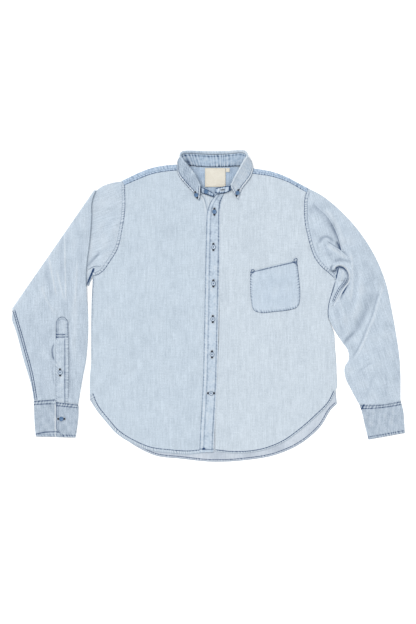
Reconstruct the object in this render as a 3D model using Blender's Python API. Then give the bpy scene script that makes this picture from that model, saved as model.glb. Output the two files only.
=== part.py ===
"""Denim shirt with a button-down collar, laid flat on its back.

Run with: blender --background --python part.py

Axes: +X to the wearer's left, +Y towards the collar, +Z up from the surface it lies on.
Tables and constants are in millimetres, on a layout whose X = 0 is near the button line;
add_cloth and add_button turn them into metres. Left and right are the wearer's own.

Every cloth piece is a middle surface, a grid worked out from its edges and heights, which
a Solidify modifier thickens both ways into one closed wall.
"""
import bpy
import numpy as np
from mathutils import Vector

MM = 0.001

# --- driving dimensions -------------------------------------------------------
CLOTH = 1.2            # wall of one layer of denim
DOUBLED = 1.4          # wall of the doubled pieces: placket, stand, collar, cuffs
TAPE = 1.0             # wall of the neck label and the size tag
GAP = 0.3              # between two pieces at a seam
FOLD_RADIUS = 1.2      # middle surface round the edge of a flattened tube
MOST_SLANT = 0.4       # least sine of the angle between a tube's ring and its edge
LOW = CLOTH / 2        # middle height of the layer that rests on the surface
UP = LOW + 2 * FOLD_RADIUS      # middle height of the layer above it, at a fold
FRONT_EDGE = CLOTH + GAP + LOW  # middle height of a front where it lies on the back
FRONT_RISE = UP - FRONT_EDGE    # more height of the fronts away from their side edges
SEAM_HALF = GAP / 2 + 0.05      # each piece draws back this far from its seam line
HEM_REACH = 70.0       # distance over which a front rises from its hem
SIDE_REACH = 50.0      # distance over which a front rises from its side seam

ARM_STEPS = 9          # steps along an armhole from armpit to front yoke seam
BACK_SEAM_STEP = 7     # step of the armhole at which the back yoke seam ends
SHOULDER_STEPS = 6     # columns along one shoulder
NECK_STEPS = 5         # columns along one front neckline
NAPE_STEPS = 8         # columns along the back neckline
SIDE_STEPS = 12        # rows along a side seam
BACK_STEPS = 20        # columns across the back
LAYOUT_CENTRE = (1.1, 0.0)     # middle of the laid shirt, which becomes the origin

DENIM = (0.56, 0.66, 0.77)
SLEEVE_DENIM = (0.53, 0.63, 0.74)
INNER_DENIM = (0.45, 0.56, 0.70)
BUTTON_BLUE = (0.10, 0.22, 0.42)
CREAM = (0.86, 0.84, 0.76)

# --- seam and edge lines of the laid shirt (x, y) ------------------------------
ARMHOLE_RIGHT = [(-288, 72), (-283, 80), (-268, 88), (-250, 107), (-227, 140), (-214, 194),
                 (-207.5, 245), (-208, 285), (-209, 302)]
SHOULDER_TIP_RIGHT = (-216, 310)
ARMHOLE_LEFT = [(320, 62), (315, 72), (303, 81), (285, 96), (268, 118), (252, 164), (243, 205),
                (241, 245), (243, 272), (247, 284)]
SHOULDER_TIP_LEFT = (251, 292)
SIDE_RIGHT = [(-295, -233), (-296, -199), (-292, -136), (-292, -36), (-290.5, 25), (-288, 72)]
SIDE_LEFT = [(322, -244), (319, -212), (321, -165), (317, -99), (314, -72), (303, -50), (296, -30),
             (296, -12), (304, 12), (316, 38), (320, 62)]
BACK_HEM = [(-295, -233), (-285, -249), (-254, -287), (-220, -321), (-170, -356), (-132, -373),
            (-70, -381), (17, -389), (92, -385), (167, -372), (230, -344), (280, -301),
            (309, -256), (322, -244)]
HEM_RIGHT = [(-295, -222), (-284, -249), (-254, -289), (-228, -318), (-189, -343), (-146, -361),
             (-95, -368), (-50, -371), (-8, -367)]
HEM_LEFT = [(18, -364), (55, -368), (92, -368), (142, -360), (187, -342), (230, -312),
            (270, -277), (305, -240), (318, -214)]
FOLD_LINE_RIGHT = [(-216, 310), (-195, 319), (-175, 328), (-140, 341), (-95, 349), (-66, 352)]
FRONT_YOKE_RIGHT = [(-209, 302), (-182, 314), (-140, 330), (-95, 338), (-66, 340)]
FOLD_LINE_LEFT = [(92, 345), (135, 339), (157, 335), (196, 321), (225, 306), (251, 292)]
FRONT_YOKE_LEFT = [(92, 333), (120, 330), (150, 326), (196, 312), (247, 284)]
NAPE = [(-66, 352), (-48, 349.5), (-20, 347.5), (13, 346.5), (45, 347), (74, 348), (92, 345)]
NECKLINE_RIGHT = [(-66, 340), (-57, 319), (-40, 299), (-18, 283), (13, 270)]
NECKLINE_LEFT = [(40, 280), (55, 290), (68, 302), (82, 317), (92, 333)]
# the button stand's free edge and the left front's edge both lie under the placket
STAND_EDGE = [(-8, -367), (11, -300), (18, -186), (21, -86), (26, 164), (26.5, 215), (23, 246),
              (13, 270)]
LEFT_EDGE = [(18, -364), (18, -300), (23, -186), (27, -86), (28.5, 164), (29, 215), (32, 250),
             (40, 280)]
PLACKET_FREE = [(-21.5, -367), (-19, -311), (-12.5, -186), (-10, -86), (-5, 164), (-3.5, 215),
                (-1, 238), (6, 257), (18, 274)]
PLACKET_SEWN = [(14.5, -367), (17, -311), (23.5, -186), (26, -86), (31, 164), (31.5, 215),
                (32, 240), (35, 262), (42, 281)]

POCKET_TOP = [(106, 85), (160, 98.5), (222, 113)]
POCKET_LEFT_SIDE = [(110, -2), (106.5, 25), (105.5, 55), (106, 85)]
POCKET_RIGHT_SIDE = [(227.5, 3), (230, 22), (228, 60), (222, 113)]
POCKET_BOTTOM = [(110, -2), (116, -13), (130, -18), (165, -16), (205, -11), (220, -6), (227.5, 3)]

# --- the left sleeve: a flattened tube, front up --------------------------------
LEFT_TOP_EDGE = [(251, 292), (280, 277), (330, 237), (380, 181), (418, 120), (443, 58), (457, -5),
                 (468, -65), (478, -135), (480, -235)]
LEFT_UNDER_EDGE = [(321.8, 62), (330, 61), (334, 52), (328, 33), (310, 8), (301, -14), (302, -31),
                   (309, -48), (319, -66), (335, -90), (351, -115), (352, -135), (342, -154),
                   (344, -180), (358, -210), (380, -244)]
LEFT_RINGS = 21

# --- the right sleeve: folded over along a slanting line --------------------------
# the fold's axis, drawn in from the outline by the fold's own outer radius
FOLD_AXIS_TOP = (-280.5, 286.5)
FOLD_AXIS_LOW = (-486.5, -11.0)
FOLD_AXIS_HEIGHT = 4.3     # height of the axis, above the two layers of the part below
BASE_TOP_EDGE = [(-216, 310), (-240, 306), (-262, 298.5), FOLD_AXIS_TOP]
BASE_UNDER_EDGE = [(-289.8, 72), (-303, 71), (-318, 64), (-333, 49), (-362, 30), (-420, 7),
                   FOLD_AXIS_LOW]
TURNED_TOP_EDGE = [FOLD_AXIS_TOP, (-288, 268), (-291.5, 214), (-295.5, 164), (-303, 105),
                   (-305, 76), (-304, 39), (-300.5, -15), (-301, -86), (-306, -140), (-313, -176),
                   (-325, -236)]
TURNED_UNDER_EDGE = [FOLD_AXIS_LOW, (-489, -33), (-481, -58), (-460, -137), (-440, -206),
                     (-434.5, -236)]
BASE_RINGS = 7
TURNED_RINGS = 15
DROOP_START = 24.0         # the turned part comes down from here, past the line of the under edge
DROOP_REACH = 55.0         # and it reaches the surface over this distance

# corners of the cuffs: sleeve end at the under side, sleeve end at the top side, wrist ends
CUFF_RIGHT_EDGES = {"under": [(-435, -237), (-434, -262), (-433, -290), (-430, -327)],
                    "top": [(-325, -243), (-324.5, -265), (-327, -295), (-332, -329)]}
CUFF_LEFT_EDGES = {"under": [(380.5, -246), (386, -268), (393, -300), (401, -334)],
                   "top": [(481, -237), (486, -258), (489, -285), (491, -318)]}
CUFF_LAP = 30.0            # the end that shows laps over the other by this much
CUFF_LAP_EDGE = -379.0     # x of the end that shows
CUFF_LAP_STEPS = 6         # points along the layer that shows, from the top edge to its end
SLEEVE_PLACKET_EDGES = {"left": [(-380, -231), (-380, -120), (-379, -42)],
                        "right": [(-348.5, -233), (-348, -120), (-349, -42)],
                        "point": (-364.5, -28)}

# dome: how far the upper layer stands over its edge height, between the two edges
DOME_LEFT_SLEEVE = 5.0
DOME_RIGHT_SLEEVE = 4.0
EDGE_REACH = 14.0          # the folds die out over this distance from a sleeve's edge
AXIS_REACH = 25.0          # and over this one beside the folded-over line
ARMHOLE_RISE_REACH = 50.0  # the arch rises over this distance from the armhole
SLEEVE_END_Y = -240.0      # the cuffs' seams
CUFF_REACH = 60.0          # the arch and folds grow over this distance from the cuff
LEAST_PUFF = 0.25          # the share of them that is left at the cuff
BASE_PUFF = 1.5            # height of the right sleeve's part below, where it shows
BASE_SHOWN_X = -286.0      # and where that stretch starts
# folds: start, middle and end of each arc, half width, height over the cloth around
FOLD_COLUMNS = ("x0", "y0", "x1", "y1", "x2", "y2", "half_width", "height")
LEFT_SLEEVE_FOLDS = [
    (262, 258, 307, 220, 334, 137, 13, -4.0),
    (284, 176, 310, 163, 337, 133, 10, -2.5),
    (286, 236, 322, 190, 352, 122, 22, 3.0),
    (300, 130, 330, 112, 352, 104, 13, 3.0),
    (345, -84, 388, -30, 405, 52, 15, -4.0),
    (360, -128, 398, -60, 427, 40, 9, -2.0),
    (372, -60, 408, 0, 424, 90, 14, 2.0),
]
# the loop at the left armpit: the sleeve stands up outside this curve, a tongue lies inside
LOOP_CENTRE = (329, 86)
LOOP_RADIUS = 21.0
LOOP_TAIL = (309, 20)
LOOP_HEIGHT = 6.5
LOOP_REACH = 55.0
RIGHT_SLEEVE_FOLDS = [
    (-452, 30, -440, -60, -420, -150, 16, 1.5),
    (-372, 110, -362, 40, -358, -20, 9, -1.6),
    (-402, 90, -392, 20, -385, -30, 8, -1.2),
    (-336, 60, -332, -40, -335, -150, 14, 1.5),
]
BASE_FOLDS = [
    (-232, 190, -256, 150, -287, 122, 14, 2.5),
]

# --- collar: one row for each station from the right front end round to the left -----
# seam: where the stand is sewn; roll: top of the stand; edge: the collar's outer edge
STAND_COLUMNS = ("seam_x", "seam_y", "seam_z", "roll_x", "roll_y", "roll_z")
STAND_STATIONS = [
    (15.5, 275, 6.8, 13, 282, 10),
    (-1, 279.5, 6.6, -1, 289, 12),
    (-17, 286, 6.0, -18, 300, 15),
    (-35, 299, 6.0, -30, 320, 17),
    (-52, 318, 6.0, -45, 339, 18),
    (-63, 338, 6.0, -59, 356, 19),
    (-64.5, 348, 5.6, -66, 369, 20),
    (-52, 351.5, 3.4, -59, 377.5, 18.5),
    (-20, 349.5, 2.8, -25, 378, 17),
    (13, 348.5, 2.8, 13, 376.5, 16.5),
    (46, 349, 2.8, 50, 378, 17),
    (76, 350, 3.4, 85, 380.5, 18.5),
    (90, 344, 5.6, 95, 370, 20),
    (90, 333, 6.0, 87, 354, 19),
    (81, 319, 6.0, 76, 334, 18),
    (69, 304.5, 6.0, 65, 315, 16),
    (57, 293, 6.0, 56.5, 300, 14),
    (38, 283.5, 6.8, 40, 296, 11),
    (18, 279.5, 8.6, 18, 290.5, 11),
]
FIRST_COLLAR_STATION = 2
LAST_COLLAR_STATION = 16
COLLAR_COLUMNS = ("edge_x", "edge_y", "edge_z", "rise")
COLLAR_STATIONS = [
    (-21.5, 262, 5.0, 1.0),
    (-37.5, 283, 5.0, 1.2),
    (-57, 304, 5.0, 1.5),
    (-72.5, 325, 5.2, 2.0),
    (-76, 350, 5.6, 3.0),
    (-71, 366, 2.2, 4.5),
    (-27, 366, 1.6, 5.0),
    (13, 364, 1.6, 5.5),
    (52, 366, 1.6, 5.0),
    (100, 369, 2.2, 4.5),
    (112, 345, 5.6, 3.0),
    (108, 324, 5.2, 2.0),
    (96, 306, 5.0, 1.5),
    (84, 290, 5.0, 1.2),
    (75, 264, 5.0, 1.0),
]
STAND_COLUMNS_BETWEEN = 2      # columns of the mesh for one station's step
STAND_ROWS = 3
COLLAR_SEAM = 1.2              # from the middle surface of the stand's edge to the collar's
ROLL_RADIUS = 2.0              # of the collar's turn over the top of the stand
FALL_ROWS = 5                  # rows of the mesh from the turn to the outer edge

# --- buttons: place on the layout, and the piece that each lies on -------------------
BUTTON_RADIUS = 5.6
BUTTON_HEIGHT = 2.4
BUTTON_SIDES = 12
FRONT_BUTTONS = [(16, 234), (13.5, 146), (13.5, 55), (12, -34), (10, -122), (7.5, -219)]
BUTTON_CLEARANCE = 0.45    # from a button's foot to the cloth below it
COLLAR_BUTTON_RIGHT = (-29, 276)
COLLAR_BUTTON_LEFT = (73, 281)
STAND_BUTTON = (-5, 286)
CUFF_BUTTON = (-366, -283)
SLEEVE_PLACKET_BUTTON = (-369, -167)
LABEL_BOX = (-7.5, 296, 44, 343.5)
TAG_BOX = (45, 333.5, 54, 343.5)

# --- how finely lines and pieces are divided -----------------------------------------
CURVE_POINTS = 24          # fine points for each point of a smooth line
EDGE_LINE_STEPS = 60       # steps of an edge line that is read at a given y
FOLD_LINE_STEPS = 16       # steps of a fold's line
RELAX_ROUNDS = 400
RELAX_SHARE = 0.7          # of the way to its target that a point moves in one round
DOME_POWER = 0.7           # below 1, so that a dome is steep at its edges and flat on top
PLACKET_ROWS = 22
PLACKET_COLUMNS = 4
POCKET_STEPS = 8
STRIP_ROWS = 12
STRIP_COLUMNS = 4
STRIP_EXTRA_GAP = 0.1      # more room under the strip, where the sleeve's folds cross it
STRIP_POINT_SHARES = (0.5, 1.0, 0.5)   # of the point's height, at the strip's inner columns
CUFF_ROWS = 4
CUFF_LEFT_COLUMNS = 8
CUFF_RIGHT_COLUMNS = 10
CUFF_HIDDEN_STEPS = 4      # along the right cuff's hidden lap
CUFF_LOWER_STEPS = 6       # along the right cuff's side that rests
HALF_TURN = np.radians([45.0, 90.0, 135.0])         # stations inside a half turn
SMALL_BEND = np.radians([45.0, 0.0, -45.0])         # stations of the cuff's under edge
LARGE_BEND = np.radians([-50.0, 0.0, 50.0])         # stations of the cuff's top edge
COLLAR_TURN = np.radians([0.0, 60.0, 120.0])        # stations of the collar's turn
FALL_BACK_SHARE = 0.3      # of the fall's reach, that it first runs straight back
FALL_EDGE_SHARE = 0.25     # of the fall's reach, that it last runs straight to its edge


# --- lines, patches and heights ----------------------------------------------------
def smooth_line(points, steps):
    """Points spaced evenly by length on a smooth curve through the given points.

    Each span is a cubic whose slopes come from the points on both sides.
    """
    knots = np.array(points, dtype=float)
    reach = np.concatenate([[0.0], np.cumsum(np.linalg.norm(np.diff(knots, axis=0), axis=1))])
    slopes = np.gradient(knots, reach, axis=0)
    fine = np.linspace(0.0, reach[-1], CURVE_POINTS * len(knots))
    span = np.clip(np.searchsorted(reach, fine, side="right") - 1, 0, len(knots) - 2)
    width = (reach[span + 1] - reach[span])[:, None]
    t = (fine - reach[span])[:, None] / width
    curve = ((1 + 2 * t) * (1 - t) ** 2 * knots[span] + t * (1 - t) ** 2 * width * slopes[span]
             + t * t * (3 - 2 * t) * knots[span + 1] + t * t * (t - 1) * width * slopes[span + 1])
    length = np.concatenate([[0.0], np.cumsum(np.linalg.norm(np.diff(curve, axis=0), axis=1))])
    wanted = np.linspace(0.0, length[-1], steps + 1)
    return np.column_stack([np.interp(wanted, length, curve[:, k]) for k in range(knots.shape[1])])


def straight(start, end, steps):
    """Points spaced evenly between two points."""
    share = np.linspace(0.0, 1.0, steps + 1)[:, None]
    return (1 - share) * np.asarray(start, float) + share * np.asarray(end, float)


def joined(*lines):
    """One line from several that meet end to end."""
    return np.vstack([lines[0]] + [line[1:] for line in lines[1:]])


def patch(low, high, first, last):
    """Grid between four edges: rows run from low to high, columns from first to last.

    Each point is the mean pull of the two pairs of edges, less the corners (a Coons patch).
    """
    u = np.linspace(0.0, 1.0, len(low))[None, :, None]
    v = np.linspace(0.0, 1.0, len(first))[:, None, None]
    across = (1 - v) * low[None] + v * high[None]
    along = (1 - u) * first[:, None] + u * last[:, None]
    corners = ((1 - u) * (1 - v) * low[0] + u * (1 - v) * low[-1]
               + (1 - u) * v * high[0] + u * v * high[-1])
    return across + along - corners


def relaxed(plan):
    """The grid with its inner points spread evenly, so that no cell folds over.

    Each inner point moves to the place that its eight neighbours give in the equations of
    an inverse harmonic grid, where the two step lengths weigh the other direction's mean.
    """
    grid = plan.copy()
    for _ in range(RELAX_ROUNDS):
        across = (grid[1:-1, 2:] - grid[1:-1, :-2]) / 2
        along = (grid[2:, 1:-1] - grid[:-2, 1:-1]) / 2
        alpha = (along ** 2).sum(axis=2, keepdims=True) + 1e-6
        gamma = (across ** 2).sum(axis=2, keepdims=True) + 1e-6
        beta = (across * along).sum(axis=2, keepdims=True)
        twist = grid[2:, 2:] - grid[:-2, 2:] - grid[2:, :-2] + grid[:-2, :-2]
        target = (alpha * (grid[1:-1, 2:] + grid[1:-1, :-2]) - beta * twist / 2
                  + gamma * (grid[2:, 1:-1] + grid[:-2, 1:-1])) / (2 * (alpha + gamma))
        grid[1:-1, 1:-1] += RELAX_SHARE * (target - grid[1:-1, 1:-1])
    return grid


def ease(value):
    """0 below 0, 1 above 1, and a smooth step between."""
    t = np.clip(value, 0.0, 1.0)
    return t * t * (3 - 2 * t)


def unit(vectors):
    """Vectors brought to length 1."""
    return vectors / np.linalg.norm(vectors, axis=-1, keepdims=True)


def drawn_in(line, inside, amount=SEAM_HALF):
    """A line moved sideways by amount, to the side that the point inside lies on."""
    run = np.gradient(line, axis=0)
    side = np.column_stack([-run[:, 1], run[:, 0]])
    side = unit(side)
    middle = len(line) // 2
    if np.dot(np.asarray(inside, float) - line[middle], side[middle]) < 0:
        side = -side
    return line + amount * side


def arc_distance(x, y, fold):
    """Distance from (x, y) to the curve that runs through a fold's three points."""
    ends = np.array([[fold["x0"], fold["y0"]], [fold["x1"], fold["y1"]], [fold["x2"], fold["y2"]]])
    path = smooth_line(ends, FOLD_LINE_STEPS)
    gaps = np.hypot(np.asarray(x)[..., None] - path[:, 0], np.asarray(y)[..., None] - path[:, 1])
    return gaps.min(axis=-1)


def fold_heights(x, y, rows):
    """Sum of soft ridges and troughs: height times exp(-(distance / half width) squared)."""
    total = np.zeros_like(np.asarray(x, dtype=float))
    for row in rows:
        fold = dict(zip(FOLD_COLUMNS, row))
        near = arc_distance(x, y, fold) / fold["half_width"]
        total = total + fold["height"] * np.exp(-near * near)
    return total


def edge_at(points, y):
    """The x of an edge line at the given y."""
    line = smooth_line(points, EDGE_LINE_STEPS)
    order = np.argsort(line[:, 1])
    return np.interp(y, line[order, 1], line[order, 0])


def dome(x, low_x, high_x, height):
    """A flat arch between two edges: height times (4 t (1 - t)) to the DOME_POWER."""
    t = np.clip((x - low_x) / (high_x - low_x), 0.0, 1.0)
    return height * (4 * t * (1 - t)) ** DOME_POWER


def front_height(x, y):
    """Middle height of the fronts: least at the hem and side seams, higher inside."""
    hem = np.interp(x, *np.array(HEM_RIGHT + HEM_LEFT, dtype=float).T)
    from_side = np.minimum(x - SIDE_RIGHT[-1][0], SIDE_LEFT[-1][0] - x) / SIDE_REACH
    above_armpit = (y - SIDE_LEFT[-1][1]) / SIDE_REACH
    side = np.maximum(ease(from_side), ease(above_armpit))
    return FRONT_EDGE + FRONT_RISE * side * ease((y - hem) / HEM_REACH)


def loop_step(x, y):
    """Height outside the loop at the left armpit, which fades with distance from it.

    The loop is the upper half of a circle and a straight tail down to the inner edge.
    """
    dx, dy = x - LOOP_CENTRE[0], y - LOOP_CENTRE[1]
    from_circle = np.hypot(dx, dy) - LOOP_RADIUS
    start = np.array([LOOP_CENTRE[0] + LOOP_RADIUS, LOOP_CENTRE[1]])
    run = np.array(LOOP_TAIL, dtype=float) - start
    run /= np.linalg.norm(run)
    from_tail = -(x - start[0]) * run[1] + (y - start[1]) * run[0]
    outside = np.where(dy > 0, from_circle, np.maximum(from_tail, -LOOP_RADIUS))
    left_of_loop = ease((x - (LOOP_CENTRE[0] - LOOP_RADIUS - 26)) / 26)
    fade = np.exp(-np.clip(outside, 0, None) / LOOP_REACH)
    return LOOP_HEIGHT * ease((outside + 3) / 9) * fade * np.where(dy > 0, left_of_loop, 1.0)


def left_sleeve_height(x, y):
    """Middle height of the left sleeve's upper layer."""
    armpit = LEFT_UNDER_EDGE[0][1]
    inner = np.where(y > armpit, edge_at(ARMHOLE_LEFT, y), edge_at(LEFT_UNDER_EDGE[3:], y))
    outer = edge_at(LEFT_TOP_EDGE, y)
    from_armhole = ease((x - inner) / ARMHOLE_RISE_REACH)
    arch = dome(x, inner, outer, DOME_LEFT_SLEEVE) * np.where(y > armpit, from_armhole, 1.0)
    near_edge = ease((x - inner) / EDGE_REACH) * ease((outer - x) / EDGE_REACH)
    to_cuff = ease((y - SLEEVE_END_Y) / CUFF_REACH)
    folds = (fold_heights(x, y, LEFT_SLEEVE_FOLDS) + loop_step(x, y)) * near_edge
    return UP + (arch + folds) * (LEAST_PUFF + (1 - LEAST_PUFF) * to_cuff)


def turned_lift(x, y):
    """Height of the turned part over the surface: full over the part below, none beyond it."""
    start, end = np.array(BASE_UNDER_EDGE[0], float), np.array(FOLD_AXIS_LOW, float)
    run = unit(end - start)
    beyond = (y - start[1]) * run[0] - (x - start[0]) * run[1] - DROOP_START
    full = 2 * FOLD_AXIS_HEIGHT - UP - LOW
    return full * (1 - ease(beyond / DROOP_REACH))


def turned_height(x, y):
    """Middle height of the upper layer of the right sleeve's turned part."""
    outer = edge_at([FOLD_AXIS_TOP] + TURNED_UNDER_EDGE, y)
    inner = edge_at(TURNED_TOP_EDGE, y)
    near_edge = ease((x - outer) / AXIS_REACH) * ease((inner - x) / EDGE_REACH)
    to_cuff = ease((y - SLEEVE_END_Y) / CUFF_REACH)
    arch = dome(x, outer, inner, DOME_RIGHT_SLEEVE) * ease((x - outer) / ARMHOLE_RISE_REACH)
    folds = fold_heights(x, y, RIGHT_SLEEVE_FOLDS) * near_edge
    return UP + turned_lift(x, y) + (arch + folds) * (LEAST_PUFF + (1 - LEAST_PUFF) * to_cuff)


def base_height(x, y):
    """Middle height of the upper layer of the right sleeve below its turned part."""
    top, low = np.array(FOLD_AXIS_TOP), np.array(FOLD_AXIS_LOW)
    run = unit(top - low)
    from_axis = (x - low[0]) * run[1] - (y - low[1]) * run[0]
    shown = ease((x - BASE_SHOWN_X) / AXIS_REACH) * ease(from_axis / AXIS_REACH)
    near_armhole = ease((edge_at(ARMHOLE_RIGHT, y) - x) / AXIS_REACH)
    return UP + (BASE_PUFF + fold_heights(x, y, BASE_FOLDS)) * shown * near_armhole


# --- mesh builders -------------------------------------------------------------------
def make_material(name, colour, roughness=0.9):
    """A plain Principled material."""
    material = bpy.data.materials.new(name)
    material.use_nodes = True
    shader = material.node_tree.nodes["Principled BSDF"]
    shader.inputs["Base Color"].default_value = (*colour, 1.0)
    shader.inputs["Roughness"].default_value = roughness
    return material


def grid_cells(rows, columns, closed=False, keep=None):
    """Quads of a grid; closed joins the last column to the first; keep(row, column) picks."""
    cells = []
    for r in range(rows - 1):
        for c in range(columns if closed else columns - 1):
            if keep is None or keep(r, c):
                right = (c + 1) % columns
                cells.append((r * columns + c, r * columns + right,
                              (r + 1) * columns + right, (r + 1) * columns + c))
    return cells


def add_cloth(name, points, cells, wall, material, layout):
    """A wall of cloth: the middle surface in millimetres, thickened both ways."""
    used = sorted({index for cell in cells for index in cell})
    place = {old: new for new, old in enumerate(used)}
    mesh = bpy.data.meshes.new(name)
    corners = (np.asarray(points).reshape(-1, 3)[used] * MM).tolist()
    mesh.from_pydata(corners, [], [tuple(place[i] for i in cell) for cell in cells])
    mesh.update()
    mesh.shade_smooth()
    mesh.materials.append(material)
    piece = bpy.data.objects.new(name, mesh)
    bpy.context.scene.collection.objects.link(piece)
    piece.parent = layout
    wall_modifier = piece.modifiers.new("wall", "SOLIDIFY")
    wall_modifier.thickness = wall * MM
    wall_modifier.offset = 0.0
    wall_modifier.use_quality_normals = True
    return piece


def add_sheet(name, plan, height, wall, material, layout):
    """A sheet from a grid of plan points and their middle heights."""
    rows, columns = plan.shape[:2]
    heights = height(plan[..., 0], plan[..., 1]) if callable(height) else height
    points = np.dstack([plan, np.broadcast_to(heights, (rows, columns))])
    return add_cloth(name, points, grid_cells(rows, columns), wall, material, layout)


def flat_ring(line, tangent_low, tangent_high, low, high):
    """One closed ring of a flattened tube, over a row of plan points.

    The ring runs along the row at height low, round a half circle at the row's last point,
    back at height high, and round a half circle at its first point. Where the row meets an
    edge at a slant, the half circle is stretched so that its width across the edge stays.
    """
    radius = FOLD_RADIUS
    turns = np.radians([-45.0, 0.0, 45.0])

    def end_frame(point, neighbour, tangent):
        inward = unit(neighbour - point)
        slant = abs(inward[0] * tangent[1] - inward[1] * tangent[0])
        return inward, radius / max(slant, MOST_SLANT)

    first_in, first_reach = end_frame(line[0], line[1], tangent_low)
    last_in, last_reach = end_frame(line[-1], line[-2], tangent_high)
    row = line.copy()
    row[0] = line[0] + first_in * first_reach
    row[-1] = line[-1] + last_in * last_reach
    below, above = low(row), high(row)

    def half_circle(centre, inward, reach, bottom, top, angles):
        middle, half = (bottom + top) / 2, (top - bottom) / 2
        return [np.append(centre - inward * reach * np.cos(a), middle + half * np.sin(a))
                for a in angles]

    ring = [np.append(p, z) for p, z in zip(row, below)]
    ring += half_circle(row[-1], last_in, last_reach, below[-1], above[-1], turns)
    ring += [np.append(p, z) for p, z in zip(row[::-1], above[::-1])]
    ring += half_circle(row[0], first_in, first_reach, below[0], above[0], turns[::-1])
    return np.array(ring)


def flat_tube(plan, low, high):
    """Rings of a flattened tube over a grid of plan points, one ring for each row.

    The first ring is a seam, cut square at both ends.
    """
    tangents = unit(np.gradient(plan, axis=0))
    for end, step in ((0, 1), (-1, -1)):
        across = plan[0, end + step] - plan[0, end]
        tangents[0, end] = unit(np.array([-across[1], across[0]]))
    return np.array([flat_ring(row, tangents[i, 0], tangents[i, -1], low, high)
                     for i, row in enumerate(plan)])


def constant(height):
    """A height function that is the same everywhere."""
    return lambda row: np.full(len(row), float(height))


def by_place(height):
    """A height function of a row of plan points from one of x and y."""
    return lambda row: height(row[:, 0], row[:, 1])


def surface_at(points, place):
    """The point of a grid of middle points that is nearest in plan, and its upward normal."""
    across = np.gradient(points, axis=1)
    along = np.gradient(points, axis=0)
    normals = np.cross(across, along).reshape(-1, 3)
    normals /= np.linalg.norm(normals, axis=1)[:, None] + 1e-9
    flat = points.reshape(-1, 3)
    nearest = np.argsort(np.hypot(flat[:, 0] - place[0], flat[:, 1] - place[1]))[:4]
    normal = normals[nearest].mean(axis=0)
    normal *= np.sign(normal[2]) / np.linalg.norm(normal)
    ground = flat[nearest].mean(axis=0)
    height = ground[2] - np.dot(normal[:2], np.asarray(place) - ground[:2]) / normal[2]
    return np.array([place[0], place[1], height]), normal


def button_mesh(material):
    """A round button with a raised rim, its foot at the origin, from a turned profile."""
    rim, top = BUTTON_RADIUS, BUTTON_HEIGHT
    profile = [(0.75 * rim, 0.0), (rim, 0.5 * top), (0.88 * rim, top), (0.68 * rim, 0.72 * top)]
    angles = np.linspace(0.0, 2 * np.pi, BUTTON_SIDES, endpoint=False)
    rings = [(r * np.cos(a), r * np.sin(a), z) for r, z in profile for a in angles]
    corners = np.array(rings + [(0, 0, 0), (0, 0, 0.66 * top)]) * MM
    cells = grid_cells(len(profile), BUTTON_SIDES, closed=True)
    under, over = len(rings), len(rings) + 1
    last = (len(profile) - 1) * BUTTON_SIDES
    for i in range(BUTTON_SIDES):
        j = (i + 1) % BUTTON_SIDES
        cells.append((under, j, i))
        cells.append((over, last + i, last + j))
    mesh = bpy.data.meshes.new("button_form")
    mesh.from_pydata(corners.tolist(), [], cells)
    mesh.update()
    mesh.shade_smooth()
    mesh.materials.append(material)
    return mesh


def add_button(name, mesh, points, place, wall, layout):
    """A button on a piece of cloth: on the surface's normal, a gap above the wall."""
    ground, normal = surface_at(points, place)
    button = bpy.data.objects.new(name, mesh)
    bpy.context.scene.collection.objects.link(button)
    button.parent = layout
    button.location = Vector((ground + normal * (wall / 2 + BUTTON_CLEARANCE)) * MM)
    button.rotation_euler = Vector(normal).to_track_quat("Z", "Y").to_euler()
    return button


# --- the garment's pieces ---------------------------------------------------------------
def armhole(points, tip):
    """Armhole line from the armpit to the shoulder tip; its last step lies on the yoke."""
    return joined(smooth_line(points, ARM_STEPS), np.array([points[-1], tip], dtype=float))


def add_back(material, layout):
    """The back below the yoke, flat on the surface."""
    right_arm = armhole(ARMHOLE_RIGHT, SHOULDER_TIP_RIGHT)[:BACK_SEAM_STEP + 1]
    left_arm = armhole(ARMHOLE_LEFT, SHOULDER_TIP_LEFT)[:BACK_SEAM_STEP + 1]
    inside = (0, 100)
    right = joined(smooth_line(SIDE_RIGHT, SIDE_STEPS), drawn_in(right_arm, inside))
    left = joined(smooth_line(SIDE_LEFT, SIDE_STEPS), drawn_in(left_arm, inside))
    top = straight(right[-1], left[-1], BACK_STEPS)
    hem = smooth_line(BACK_HEM, BACK_STEPS)
    plan = patch(hem, top, right, left)
    plan[-1, :, 1] -= SEAM_HALF
    return add_sheet("back_panel", plan, LOW, CLOTH, material, layout)


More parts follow.
